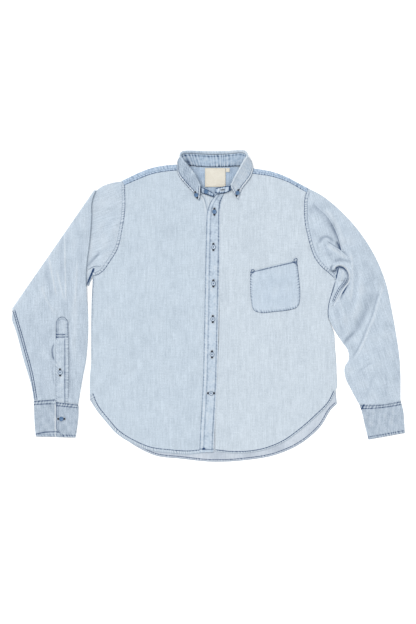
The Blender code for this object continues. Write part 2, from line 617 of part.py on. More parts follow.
def add_yoke(material, layout):
    """The yoke: a lower layer, a half turn over each shoulder, and a strip on each front."""
    inside = (0, 280)
    right_arm = drawn_in(armhole(ARMHOLE_RIGHT, SHOULDER_TIP_RIGHT), inside)
    left_arm = drawn_in(armhole(ARMHOLE_LEFT, SHOULDER_TIP_LEFT), inside)
    folds = {"right": smooth_line(FOLD_LINE_RIGHT, SHOULDER_STEPS),
             "left": smooth_line(FOLD_LINE_LEFT, SHOULDER_STEPS)}
    seams = {"right": smooth_line(FRONT_YOKE_RIGHT, SHOULDER_STEPS),
             "left": smooth_line(FRONT_YOKE_LEFT, SHOULDER_STEPS)}
    folds["right"][0], folds["left"][-1] = right_arm[-1], left_arm[-1]
    seams["right"][0], seams["left"][-1] = right_arm[-2], left_arm[-2]
    top = joined(folds["right"], smooth_line(NAPE, NAPE_STEPS), folds["left"])
    seam = straight(right_arm[BACK_SEAM_STEP], left_arm[BACK_SEAM_STEP], len(top) - 1)
    lower = patch(seam, top, right_arm[BACK_SEAM_STEP:], left_arm[BACK_SEAM_STEP:])
    lower[0, :, 1] += SEAM_HALF
    rows = [np.column_stack([row, np.full(len(row), LOW)]) for row in lower]
    columns = len(top)
    shoulder = np.r_[0:SHOULDER_STEPS + 1, columns - SHOULDER_STEPS - 1:columns]
    crease = np.vstack([folds["right"], folds["left"]])
    front = np.vstack([seams["right"], seams["left"]])
    outward = unit(crease - front)
    front = front + outward * SEAM_HALF
    crease = crease - outward * FOLD_RADIUS
    rows[-1][shoulder, :2] = crease
    middle = (LOW + UP) / 2
    for turn in HALF_TURN:
        row = rows[len(lower) - 1].copy()
        row[shoulder, :2] = crease + outward * FOLD_RADIUS * np.sin(turn)
        row[shoulder, 2] = middle - FOLD_RADIUS * np.cos(turn)
        rows.append(row)
    for share in (0.0, 0.5, 1.0):
        row = rows[len(lower) - 1].copy()
        row[shoulder, :2] = (1 - share) * crease + share * front
        row[shoulder, 2] = UP
        rows.append(row)
    last_lower = len(lower) - 1

    def keep(row, column):
        on_shoulder = column < SHOULDER_STEPS or column >= columns - SHOULDER_STEPS - 1
        return row < last_lower or on_shoulder

    cells = grid_cells(len(rows), columns, keep=keep)
    return add_cloth("yoke", np.array(rows), cells, CLOTH, material, layout)


def add_front(name, arm, tip, side, hem, centre, yoke_seam, neckline, material, layout):
    """A front, from its hem to the front yoke seam and the neckline.

    The lines run from the side to the centre, and from the hem up.
    """
    inside = (0, 100)
    arm_line = drawn_in(armhole(arm, tip), inside)[:-1]
    outer = joined(smooth_line([hem[0]] + side[1:], SIDE_STEPS), arm_line)
    top = joined(smooth_line(yoke_seam, SHOULDER_STEPS), smooth_line(neckline, NECK_STEPS))
    top[0] = outer[-1]
    down = np.zeros_like(top)
    down[:SHOULDER_STEPS + 1, 1] = -SEAM_HALF
    top = top + down
    inner = smooth_line(centre, len(outer) - 1)
    low = smooth_line(hem, len(top) - 1)
    top[-1], low[0], low[-1] = inner[-1], outer[0], inner[0]
    outer[-1] = top[0]
    return add_sheet(name, patch(low, top, outer, inner), front_height, CLOTH, material, layout)


def lifted(plan, height):
    """A grid of plan points with the height that a function of x and y gives each."""
    return np.dstack([plan, height(plan[..., 0], plan[..., 1])])


def add_grid(name, points, wall, material, layout, closed=False):
    """A wall of cloth on a grid of middle points."""
    cells = grid_cells(points.shape[0], points.shape[1], closed=closed)
    return add_cloth(name, points, cells, wall, material, layout)


def placket_points():
    """The strip with the buttonholes, on both fronts' edges."""
    free = smooth_line(PLACKET_FREE, PLACKET_ROWS)
    sewn = smooth_line(PLACKET_SEWN, PLACKET_ROWS)
    share = np.linspace(0.0, 1.0, PLACKET_COLUMNS + 1)[None, :, None]
    plan = (1 - share) * free[:, None] + share * sewn[:, None]
    rise = (CLOTH + DOUBLED) / 2 + GAP

    def on_fronts(x, y):
        return front_height(x, y) + rise

    return lifted(plan, on_fronts)


def pocket_points():
    """The patch pocket, made from the left front's heights, moved out."""
    edges = [smooth_line(line, POCKET_STEPS)
             for line in (POCKET_BOTTOM, POCKET_TOP, POCKET_LEFT_SIDE, POCKET_RIGHT_SIDE)]

    def on_front(x, y):
        return front_height(x, y) + CLOTH + GAP

    plan = patch(*edges)
    return lifted(plan, on_front)


def left_sleeve_rings():
    """The left sleeve: a flattened tube from the armhole to the cuff."""
    arm = drawn_in(armhole(ARMHOLE_LEFT, SHOULDER_TIP_LEFT), (400, 100))
    under, top = smooth_line(LEFT_UNDER_EDGE, LEFT_RINGS), smooth_line(LEFT_TOP_EDGE, LEFT_RINGS)
    arm[0], top[0] = under[0], arm[-1]
    plan = relaxed(patch(arm, straight(under[-1], top[-1], len(arm) - 1), under, top))
    return flat_tube(plan, constant(LOW), by_place(left_sleeve_height))


def right_sleeve_rings():
    """The right sleeve: a flattened tube that is folded over along the slanting axis.

    The part below runs from the armhole to the axis. The half turn carries each point, at
    height h, round the axis with radius (axis height - h). The turned part runs on to the
    cuff, with the tube's lower layer on top.
    """
    arm = drawn_in(armhole(ARMHOLE_RIGHT, SHOULDER_TIP_RIGHT), (-400, 100))
    axis = straight(FOLD_AXIS_LOW, FOLD_AXIS_TOP, len(arm) - 1)
    under, top = smooth_line(BASE_UNDER_EDGE, BASE_RINGS), smooth_line(BASE_TOP_EDGE, BASE_RINGS)
    arm[0], top[0] = under[0], arm[-1]
    plan = relaxed(patch(arm, axis, under, top))
    base = flat_tube(plan, constant(LOW), by_place(base_height))
    under = smooth_line(TURNED_UNDER_EDGE, TURNED_RINGS)
    top = smooth_line(TURNED_TOP_EDGE, TURNED_RINGS)
    plan = relaxed(patch(axis, straight(under[-1], top[-1], len(arm) - 1), under, top))

    def under_layer(x, y):
        return LOW + turned_lift(x, y)

    turned = flat_tube(plan, by_place(turned_height), by_place(under_layer))
    run = axis[-1] - axis[0]
    outward = unit(np.array([-run[1], run[0]]))
    at_axis = base[-1]
    arcs = []
    for turn in HALF_TURN:
        radius = FOLD_AXIS_HEIGHT - at_axis[:, 2]
        ring = at_axis.copy()
        ring[:, :2] += outward[None] * (radius * np.sin(turn))[:, None]
        ring[:, 2] = FOLD_AXIS_HEIGHT - radius * np.cos(turn)
        arcs.append(ring)
    end = at_axis.copy()
    end[:, 2] = 2 * FOLD_AXIS_HEIGHT - at_axis[:, 2]
    return np.concatenate([base, np.array(arcs), end[None], turned[1:]])


def cuff_plan(edges, rows, columns):
    """Grid of a laid cuff: rows from the sleeve to the wrist, columns from edge to edge."""
    under, top = smooth_line(edges["under"], rows), smooth_line(edges["top"], rows)
    share = np.linspace(0.0, 1.0, columns + 1)[None, :, None]
    return (1 - share) * under[:, None] + share * top[:, None]


def left_cuff_rings():
    """The left cuff: a flattened ring; its ends lap on the side that rests."""
    low = constant(DOUBLED / 2)
    high = constant(DOUBLED / 2 + 2 * FOLD_RADIUS)
    return flat_tube(cuff_plan(CUFF_LEFT_EDGES, CUFF_ROWS, CUFF_LEFT_COLUMNS), low, high)


def right_cuff_rings():
    """The right cuff: a strip round the wrist whose end laps over its other end, up.

    Its path across runs from the hidden end, to the under edge, along the surface, round
    the top edge and back to the end that shows.
    """
    plan = cuff_plan(CUFF_RIGHT_EDGES, CUFF_ROWS, CUFF_RIGHT_COLUMNS)
    ground = DOUBLED / 2
    lower_top = ground + 2 * FOLD_RADIUS
    upper_top = lower_top + DOUBLED + GAP
    rings = []
    for row in plan:
        start, end = row[0], row[-1]
        width = np.linalg.norm(end - start)
        inward = (end - start) / width
        lap = (CUFF_LAP_EDGE - start[0]) / inward[0]
        small, large = FOLD_RADIUS, (upper_top - ground) / 2
        hidden = np.linspace(lap + CUFF_LAP, small, CUFF_HIDDEN_STEPS + 1)
        lower = np.linspace(small, width - large, CUFF_LOWER_STEPS + 1)
        path = [(s, lower_top) for s in hidden]
        path += [(small - small * np.cos(a), ground + small + small * np.sin(a))
                 for a in SMALL_BEND]
        path += [(s, ground) for s in lower]
        path += [(width - large + large * np.cos(a), ground + large + large * np.sin(a))
                 for a in LARGE_BEND]
        path += [(s, upper_top) for s in np.linspace(width - large, lap, CUFF_LAP_STEPS)]
        rings.append([np.append(start + inward * s, z) for s, z in path])
    return np.array(rings)


def sleeve_placket_points():
    """The pointed strip above the right cuff, made from the sleeve's heights, moved out."""
    left, right = SLEEVE_PLACKET_EDGES["left"], SLEEVE_PLACKET_EDGES["right"]
    side, other = smooth_line(left, STRIP_ROWS), smooth_line(right, STRIP_ROWS)
    share = np.linspace(0.0, 1.0, STRIP_COLUMNS + 1)[None, :, None]
    plan = (1 - share) * side[:, None] + share * other[:, None]
    rise = SLEEVE_PLACKET_EDGES["point"][1] - left[-1][1]
    plan[-1, 1:-1, 1] += rise * np.array(STRIP_POINT_SHARES)

    def on_sleeve(x, y):
        return turned_height(x, y) + CLOTH + GAP + STRIP_EXTRA_GAP

    return lifted(plan, on_sleeve)


def stand_lines():
    """Smooth seam and roll lines of the stand, with steps for each station."""
    return (station_lines(STAND_STATIONS, STAND_COLUMNS, ("seam_x", "seam_y", "seam_z")),
            station_lines(STAND_STATIONS, STAND_COLUMNS, ("roll_x", "roll_y", "roll_z")))


def station_lines(rows, columns, names):
    """A smooth line through the named columns, with even steps between each two stations."""
    stations = np.array(rows, dtype=float)[:, [columns.index(name) for name in names]]
    count = len(stations)
    knots = np.arange(count, dtype=float)
    slopes = np.gradient(stations, axis=0)
    at = np.linspace(0.0, count - 1, (count - 1) * STAND_COLUMNS_BETWEEN + 1)
    span = np.clip(at.astype(int), 0, count - 2)
    t = (at - knots[span])[:, None]
    return ((1 + 2 * t) * (1 - t) ** 2 * stations[span] + t * (1 - t) ** 2 * slopes[span]
            + t * t * (3 - 2 * t) * stations[span + 1] + t * t * (t - 1) * slopes[span + 1])


def stand_points():
    """The collar stand: a band from its seam to the roll line."""
    seam, roll = stand_lines()
    share = np.linspace(0.0, 1.0, STAND_ROWS + 1)[:, None, None]
    return (1 - share) * seam[None] + share * roll[None]


def collar_points():
    """The collar: up from the stand, round a half turn outward, and down to its edge.

    Each station's section is a short rise, a half circle of ROLL_RADIUS, and a cubic Bezier
    curve that leaves it straight back along the stand.
    """
    seam, roll = stand_lines()
    rising = unit(roll - seam)
    outward = unit(np.cross(rising, np.gradient(roll, axis=0)))
    first = FIRST_COLLAR_STATION * STAND_COLUMNS_BETWEEN
    last = LAST_COLLAR_STATION * STAND_COLUMNS_BETWEEN + 1
    roll, rising, outward = roll[first:last], rising[first:last], outward[first:last]
    edge = station_lines(COLLAR_STATIONS, COLLAR_COLUMNS, ("edge_x", "edge_y", "edge_z"))
    rise = station_lines(COLLAR_STATIONS, COLLAR_COLUMNS, ("rise",))
    start = roll + rising * COLLAR_SEAM
    centre = start + rising * rise + outward * ROLL_RADIUS
    rows = [start]
    for turn in COLLAR_TURN:
        rows.append(centre + ROLL_RADIUS * (rising * np.sin(turn) - outward * np.cos(turn)))
    turned = centre + ROLL_RADIUS * outward
    reach = np.linalg.norm(turned - edge, axis=1)[:, None]
    behind = turned - FALL_BACK_SHARE * reach * rising
    over_edge = edge + FALL_EDGE_SHARE * (turned - edge)
    for t in np.linspace(0.0, 1.0, FALL_ROWS + 1):
        rows.append((1 - t) ** 3 * turned + 3 * t * (1 - t) ** 2 * behind
                    + 3 * t * t * (1 - t) * over_edge + t ** 3 * edge)
    return np.array(rows)


def add_label(name, box, material, layout):
    """A small flat piece that lies on the inside of the yoke."""
    x0, y0, x1, y1 = box
    low, high = straight((x0, y0), (x1, y0), 2), straight((x0, y1), (x1, y1), 2)
    plan = np.stack([low, high])
    return add_sheet(name, plan, CLOTH + GAP + TAPE / 2, TAPE, material, layout)


def add_buttons(material, layout):
    """All the buttons that show, each fastened where it lies."""
    mesh = button_mesh(material)
    placket, stand, collar = placket_points(), stand_points(), collar_points()
    for number, place in enumerate(FRONT_BUTTONS, start=1):
        add_button(f"front_button_{number}", mesh, placket, place, DOUBLED, layout)
    add_button("collar_button_right", mesh, collar, COLLAR_BUTTON_RIGHT, DOUBLED, layout)
    add_button("collar_button_left", mesh, collar, COLLAR_BUTTON_LEFT, DOUBLED, layout)
    add_button("stand_button", mesh, stand, STAND_BUTTON, DOUBLED, layout)
    lap = right_cuff_rings()[:, -CUFF_LAP_STEPS:]
    add_button("cuff_button_right", mesh, lap, CUFF_BUTTON, DOUBLED, layout)
    strip = sleeve_placket_points()
    add_button("sleeve_placket_button_right", mesh, strip, SLEEVE_PLACKET_BUTTON, CLOTH, layout)


def build():
    """Clear the scene and make every piece."""
    for old in list(bpy.data.objects):
        bpy.data.objects.remove(old, do_unlink=True)
    layout = bpy.data.objects.new("laid_shirt", None)
    bpy.context.scene.collection.objects.link(layout)
    layout.location = (-LAYOUT_CENTRE[0] * MM, -LAYOUT_CENTRE[1] * MM, 0.0)
    body = make_material("body_denim", DENIM)
    sleeve = make_material("sleeve_denim", SLEEVE_DENIM)
    inner = make_material("yoke_denim", INNER_DENIM)
    collar = make_material("collar_denim", DENIM)
    button = make_material("button_plastic", BUTTON_BLUE, 0.35)
    cream = make_material("label_cotton", CREAM)
    add_back(body, layout)
    add_yoke(inner, layout)
    add_front("front_right_panel", ARMHOLE_RIGHT, SHOULDER_TIP_RIGHT, SIDE_RIGHT, HEM_RIGHT,
              STAND_EDGE, FRONT_YOKE_RIGHT, NECKLINE_RIGHT, body, layout)
    add_front("front_left_panel", ARMHOLE_LEFT, SHOULDER_TIP_LEFT, SIDE_LEFT, HEM_LEFT[::-1],
              LEFT_EDGE, FRONT_YOKE_LEFT[::-1], NECKLINE_LEFT[::-1], body, layout)
    add_grid("front_placket", placket_points(), DOUBLED, body, layout)
    add_grid("pocket", pocket_points(), CLOTH, body, layout)
    add_grid("sleeve_left", left_sleeve_rings(), CLOTH, sleeve, layout, closed=True)
    add_grid("sleeve_right", right_sleeve_rings(), CLOTH, sleeve, layout, closed=True)
    add_grid("cuff_left", left_cuff_rings(), DOUBLED, sleeve, layout, closed=True)
    add_grid("cuff_right", right_cuff_rings(), DOUBLED, sleeve, layout)
    add_grid("sleeve_placket_right", sleeve_placket_points(), CLOTH, sleeve, layout)
    add_grid("collar_stand", stand_points(), DOUBLED, collar, layout)
    add_grid("collar", collar_points(), DOUBLED, collar, layout)
    add_label("neck_label", LABEL_BOX, cream, layout)
    add_label("size_tag", TAG_BOX, cream, layout)
    add_buttons(button, layout)


build()
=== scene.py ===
"""Looks of the denim shirt that lies flat on its back.

Every cloth piece is a surface worked out with numpy on a grid: plan lines and heights in
millimetres on the shirt's own layout, whose X = 0 is near the button line. write_mesh turns
them into metres in the frame. Left and right are the wearer's. Wear and shading is a number
for each point: below 0 towards indigo, above 0 towards white. It holds the cloth's own wash
and wear, and also painted shade in folds, creases and hollows and under overlapping edges,
and painted highlights on the ridges of folds.
"""

import bpy
import numpy as np
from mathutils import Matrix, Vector


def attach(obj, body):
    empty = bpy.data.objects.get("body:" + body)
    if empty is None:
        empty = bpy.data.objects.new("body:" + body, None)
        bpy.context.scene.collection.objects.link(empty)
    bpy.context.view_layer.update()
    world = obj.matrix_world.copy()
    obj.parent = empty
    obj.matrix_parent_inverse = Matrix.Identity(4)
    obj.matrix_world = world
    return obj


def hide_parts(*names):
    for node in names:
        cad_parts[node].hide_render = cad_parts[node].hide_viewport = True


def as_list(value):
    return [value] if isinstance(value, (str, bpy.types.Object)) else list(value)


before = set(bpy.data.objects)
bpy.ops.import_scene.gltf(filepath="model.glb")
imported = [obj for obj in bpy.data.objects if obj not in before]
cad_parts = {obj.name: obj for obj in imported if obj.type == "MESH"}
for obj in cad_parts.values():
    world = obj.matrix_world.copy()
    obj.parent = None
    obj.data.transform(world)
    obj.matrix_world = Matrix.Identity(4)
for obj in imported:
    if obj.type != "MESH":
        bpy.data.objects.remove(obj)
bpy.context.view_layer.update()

MM = 0.001
CENTRE = (1.1, 0.0)        # the layout's point that is the frame's origin

# --- cloth and seams, in millimetres ---
SHELL = 0.9                # one layer of denim
DOUBLED = 1.3              # placket, stand, collar and cuffs
TAPE = 0.6                 # neck label and size tag
SEAM_SHELL = 0.6           # raised seams and the rolled edges of folds
CLOTH_ROOM = 1.2           # height that one layer takes in a stack
DOUBLED_ROOM = 1.4         # that a doubled one takes
GAP = 0.3                  # and that between two of them
FOLD_RADIUS = 1.2          # middle surface round the edge of a flattened tube
MOST_SLANT = 0.4           # least sine of the angle between a tube's ring and its edge
LOW = 0.6                  # middle height of the layer that rests
UP = 3.0                   # and of the layer above it, at a fold
UPPER_START = 1.6          # height above which a sleeve's points belong to its upper layer
FRONT_EDGE = 1.65          # middle height of a front at its side and hem
FRONT_RISE = 1.35          # more height away from them
SEAM_HALF = 0.2            # each piece draws back this far from its seam line
HEM_REACH = 70.0           # distances over which cloth rises: from a hem,
SIDE_REACH = 50.0          # a side seam,
EDGE_REACH = 14.0          # a fold at a sleeve's edge,
AXIS_REACH = 25.0          # the axis of the right sleeve's big fold,
ARMHOLE_RISE_REACH = 50.0  # an armhole,
CUFF_REACH = 60.0          # and a cuff, which starts at SLEEVE_END_Y
SLEEVE_END_Y = -240.0
LEAST_PUFF = 0.25          # share of a sleeve's relief that is left at its cuff

# --- outline and seam lines (x, y) ---
ARMHOLE_RIGHT = [(-288, 72), (-283, 80), (-268, 88), (-250, 107), (-227, 140), (-214, 194),
    (-207.5, 245), (-208, 285), (-209, 302)]
SHOULDER_TIP_RIGHT = (-216, 310)
ARMHOLE_LEFT = [(320, 62), (315, 70), (303, 81), (285, 96), (268, 118), (252, 164), (243, 205),
    (241, 245), (243, 272), (247, 284)]
SHOULDER_TIP_LEFT = (251, 292)
SIDE_RIGHT = [(-295, -233), (-296, -199), (-292, -136), (-292, -36), (-290.5, 25), (-288, 72)]
SIDE_LEFT = [(322, -244), (319, -212), (321, -165), (317, -99), (314.5, -68), (308, -50), (301, -31),
    (300, -11), (304.5, 14), (310.5, 31), (315.5, 46), (319.5, 62)]
BACK_HEM = [(-295, -233), (-285, -249), (-254, -287), (-220, -321), (-170, -356), (-132, -373),
    (-70, -381), (17, -389), (92, -385), (167, -372), (230, -344), (280, -301), (309, -256),
    (322, -244)]
HEM_RIGHT = [(-295, -222), (-284, -249), (-254, -289), (-228, -318), (-189, -343), (-146, -361),
    (-95, -368), (-50, -371), (-8, -367)]
HEM_LEFT = [(18, -364), (55, -368), (92, -368), (142, -360), (187, -342), (230, -312), (270, -277),
    (305, -240), (318, -214)]
FOLD_LINE_RIGHT = [(-216, 311), (-195, 321), (-175, 330.5), (-140, 343.5), (-95, 351), (-66, 352)]
FRONT_YOKE_RIGHT = [(-209, 302), (-182, 314), (-140, 330), (-95, 338), (-66, 340)]
FOLD_LINE_LEFT = [(92, 345), (135, 339), (157, 335), (196, 321), (225, 306), (251, 292)]
FRONT_YOKE_LEFT = [(92, 333), (120, 330), (150, 326), (196, 312), (247, 284)]
NECK_X = 13.0              # the middle of the neck
BODY_POINT, YOKE_POINT = (0, 100), (0, 280)       # points inside the body and inside the yoke
ARMHOLE_LENGTH = 260.0
NAPE = [(-66, 352), (-48, 349.5), (-20, 347.5), (13, 346.5), (45, 347), (74, 348), (92, 345)]
NECKLINE_RIGHT = [(-66, 340), (-57, 319), (-40, 299), (-18, 283), (13, 270)]
NECKLINE_LEFT = [(40, 280), (55, 290), (68, 302), (82, 317), (92, 333)]
STAND_EDGE = [(-8, -367), (11, -300), (18, -186), (21, -86), (26, 164), (26.5, 215), (23, 246),
    (13, 270)]
LEFT_EDGE = [(18, -364), (18, -300), (23, -186), (27, -86), (28.5, 164), (29, 215), (32, 250),
    (40, 280)]
UNDER_LAP = [(-22, 280), (-13, 272), (-7, 260), (-3.5, 243), (-1.5, 229), (-1, 222)]
PLACKET_FREE = [(-21.5, -367), (-19, -311), (-12.5, -186), (-10, -86), (-5, 164), (-3.5, 215),
    (-1, 238), (6, 257), (18, 274)]
PLACKET_SEWN = [(14.5, -367), (17, -311), (23.5, -186), (26, -86), (31, 164), (31.5, 215), (32, 240),
    (35, 262), (42, 281)]
PLACKET_LENGTH = 655.0
PLACKET_ROWS, PLACKET_COLUMNS = 420, 27
FREE_CHANNEL = 10.5        # the placket's sewn channels, from its free edge
SEWN_CHANNEL = 5.0         # and from its sewn one
POCKET_WIDTH, POCKET_DEPTH, POCKET_STEPS = 118, 105, 84
POCKET_TOP = [(106, 85), (160, 98.5), (222, 113)]
POCKET_TACKS = [[(107.5, 83), (109, 90), (116, 88.5), (114, 81)],
                [(214, 113), (216.5, 117), (222.5, 117.5), (221.5, 104)]]
POCKET_LEFT_SIDE = [(110, -2), (106.5, 25), (105.5, 55), (106, 85)]
POCKET_RIGHT_SIDE = [(227.5, 3), (230, 22), (228, 60), (222, 113)]
POCKET_BOTTOM = [(110, -2), (116, -13), (130, -18), (165, -16), (205, -11), (220, -6), (227.5, 3)]

# --- sleeves ---
LEFT_TOP_EDGE = [(251, 292), (280, 277), (330, 237), (380, 181), (418, 120), (443, 58), (457, -5),
    (468, -65), (478, -135), (480.3, -244)]
LEFT_UNDER_EDGE = [(321.8, 62), (317, 46), (312, 31), (306, 14), (301.6, -11), (302.5, -31), (310, -50),
    (319, -66), (335, -90), (351, -115), (352, -135), (342, -154), (344, -180), (358, -210),
    (381.5, -253)]
FOLD_AXIS_TOP = (-280.5, 286.5)
FOLD_AXIS_LOW = (-486.5, -11.0)
FOLD_AXIS_HEIGHT = 4.3
BASE_TOP_EDGE = [(-216, 310), (-240, 306), (-262, 298.5), FOLD_AXIS_TOP]
BASE_UNDER_EDGE = [(-289.8, 72), (-294, 64), (-300, 52), (-308, 45), (-333, 38), (-362, 24), (-420, 7),
    FOLD_AXIS_LOW]
TURNED_TOP_EDGE = [FOLD_AXIS_TOP, (-288, 268), (-291.5, 214), (-295.5, 164), (-303, 105), (-305, 76),
    (-304, 39), (-300.5, -15), (-301, -86), (-306, -140), (-313, -176), (-325.5, -250)]
TURNED_UNDER_EDGE = [FOLD_AXIS_LOW, (-489, -33), (-481, -58), (-460, -137), (-440, -206),
    (-434.5, -241)]
SLEEVE_RUN = (-0.943, -0.332)      # the right sleeve's own direction before it is folded over
LEFT_GRAIN_TURN = np.radians(18)   # of the left sleeve's warp, from the frame's Y
DROOP_START = 24.0         # how far past the part below its turned part starts to sink,
DROOP_REACH = 55.0         # and over what distance
BASE_PUFF = 1.5
BASE_SHOWN_X = -286.0      # the part below has relief from here to the armhole
LEFT_RING = (31, 111)      # points across a sleeve's lower layer, and across its upper one
RIGHT_RING = (81, 61)
CUFF_RIGHT_EDGES = {"under": [(-435, -237), (-434, -262), (-433, -290), (-430, -327)],
                    "top": [(-325, -243), (-324.5, -265), (-327, -295), (-332, -329)]}
CUFF_RIGHT_SHIFTS = {"lower": (-435, -1.5, -381, 6.2, -376, -7.0), "upper": (-380, -1.0, -325, -4.5)}
CUFF_LEFT_EDGES = {"under": [(380.5, -246), (386, -268), (393, -300), (401, -334)],
                   "top": [(481, -237), (486, -258), (489, -285), (491, -318)]}
CUFF_LAP = 30.0            # cloth of the right cuff under its lap
CUFF_LOW = 0.7             # middle height of a cuff's layer that rests
CUFF_LEFT_DEPTH = 78.0
CUFF_RIGHT_DEPTH = 92.0
CUFF_UNDER, CUFF_GROUND, CUFF_OVER = 56, 33, 40   # points across the right cuff's three layers
FELLED_SEAM = [(-486, -12), (-478, -40), (-458, -112), (-443, -168), (-431, -236)]
TONGUE_SEAM = [(346, 70), (342, 60.5), (332.5, 48), (326.5, 39.5), (320, 27), (312, 9)]
CUFF_LAP_EDGE = -379.0
SLEEVE_PLACKET_EDGES = {"left": [(-380, -243), (-380, -120), (-379, -42)],
                        "right": [(-348.5, -248), (-348, -120), (-349, -42)],
                        "point": (-364.5, -28)}
STRIP_WIDTH = 31.0
STRIP_ROWS, STRIP_COLUMNS = 130, 23
DOME_LEFT_SLEEVE = 5.0     # height of the arch across a sleeve
DOME_RIGHT_SLEEVE = 4.0
LOOP_TOP = [(316, 89), (318, 95.5), (327, 99.5), (338, 97), (346, 89.5), (351.5, 79), (352.5, 68)]
LOOP_LOW = [(353.5, 69), (349.5, 57), (342.5, 48), (336, 39.5), (329, 27), (319, 10), (313, -1)]
LOOP_INNER = [(326, 95), (323.8, 85), (321.5, 75), (319.5, 65)]
LOOP_CAVE = [(317, 89), (320, 94.5), (327, 97), (335, 95), (342, 90), (346, 82)]
LOOP_SHADE = [(350, 55), (345, 46), (340, 37.5), (334, 28)]
VALLEY_LEFT = [(262, 257), (277, 243), (297, 223), (308, 207.5), (317, 192), (323, 176), (328, 160),
    (334, 136)]
RIDGE_LEFT = [(297, 159), (314, 148), (328, 139), (335, 132.5), (349, 121)]
ARMPIT_RIGHT = [(-284, 93), (-287.5, 83), (-292, 73), (-296.5, 62), (-300.5, 50)]
ARMPIT_ARC_RIGHT = [(-299, 91), (-295, 94), (-289, 97.5), (-279, 100), (-268, 99)]
ARMHOLE_SEAM_RIGHT = [(-287, 74.5), (-276, 77), (-262, 87), (-247.5, 107)] + ARMHOLE_RIGHT[4:]
ARMHOLE_SEAM_RIGHT += [(-211, 306)]
SIDE_SEAM_RIGHT = [(-288, 73), (-288.5, 60), (-290.5, 25), (-292, -36), (-292, -136)]
LOOP_CURL = [(311, 101), (307.5, 96), (307.5, 88.5), (312.5, 82.5), (319, 82.5)]
UNDERARM_LEFT = [(320, 65), (314.4, 48), (310, 32), (305, 14), (300.8, -11), (301.4, -31)]
LOOP_HEIGHT = 6.0
LOOP_REACH = 55.0

# folds: width to the left and right of the line, height of the middle, wear and shading (painted
# shade below 0, painted highlight above 0), the width of that shading (one number, or one for
# each side), and the points of the line
LEFT_SLEEVE_FOLDS = [
    (4, 16, -4.0, -0.30, (2, 13), [(262, 256), (277, 242), (297, 223), (308, 207), (317, 192),
                                   (323, 176)]),
    (3, 9, -4.0, -0.42, (1.5, 6), [(308, 207), (317, 192), (323, 176), (328, 160), (334, 137)]),
    (8, 10, 2.6, 0.16, 6, [(290, 240), (308, 222), (322, 200), (331, 178), (338, 150)]),
    (5, 5, -2.8, -0.40, 3.4, [(279, 156), (284, 167), (295, 171.5), (307, 166), (313, 156)]),
    (4, 4, -1.0, -0.14, 3, [(271, 136), (274, 150), (280, 162)]),
    (4, 8, -2.8, -0.36, (4, 1.5), [(298, 158), (314, 147.5), (328, 138.5), (349, 121)]),
    (4, 6, -2.5, -0.65, (2, 5), [(321, 160), (328, 148), (334.5, 135)]),
    (6, 6, 1.8, 0.24, 4, [(296, 151), (312, 140), (328, 130.5), (344, 118)]),
    (12, 12, -1.6, -0.20, 8, [(290, 154), (298, 138), (306, 122)]),
    (9, 7, 2.2, 0.05, 6, [(296, 138), (316, 126), (338, 116), (352, 112)]),
    (7, 5, -2.0, -0.34, (4.5, 4), [(312, 108), (326, 113), (340, 113), (352, 110), (362, 106)]),
    (7, 12, -3.4, -0.20, (4, 7), [(336, -98), (350, -84), (367, -66), (381, -44), (392, -18), (400, 5)]),
    (12, 16, -2.2, -0.07, 10, [(372, -58), (387, -28), (400, 5), (411, 37), (419, 63)]),
    (4, 5, -1.5, -0.25, 3, [(338, -94), (352, -80), (364, -68)]),
    (10, 12, 2.6, 0.10, 8, [(362, -40), (372, -10), (380, 30), (386, 70)]),
    (3, 6, -2.2, -0.22, 3, [(357, -136), (372, -114), (382, -94), (395, -61), (408, -31), (420, 9),
                            (428, 39)]),
    (5, 5, 1.4, 0.20, 3, [(362, -137), (377, -114), (388, -92), (401, -59), (414, -29), (425, 9),
                          (435, 38), (443, 60)]),
    (5, 8, 1.4, 0.20, 2.5, [(354, 140), (359, 109), (360, 76), (359, 39), (354, 4)]),
    (7, 9, -1.2, -0.10, 6, [(366, 120), (370, 80), (368, 30), (362, -6)]),
    (4, 7, -3.0, -0.50, (4, 2), [(351, 58), (345, 46), (340, 37), (334, 26), (331, 14)]),
    (4, 6, 0.8, 0.20, 3.0, [(338, 90), (337, 80), (334, 66), (326, 50)]),
    (12, 16, -1.4, -0.06, 12, [(392, 108), (404, 70), (412, 30), (414, -10)]),
    (10, 10, -1.4, -0.14, 8, [(468, -90), (474, -130), (476, -200)]),
    (8, 12, -1.4, -0.10, 7, [(300, 44), (318, 4), (330, -36), (338, -70)]),
    (9, 12, 1.4, 0.08, 8, [(318, 30), (334, -10), (346, -50), (354, -84)]),
    (4, 5, -0.9, -0.12, 3, [(372, -170), (398, -150), (420, -140)]),
    (5, 6, -1.0, -0.12, 4, [(392, -228), (404, -208), (410, -180)]),
    (5, 6, -1.0, -0.10, 4, [(440, -230), (446, -206), (444, -170)]),
]
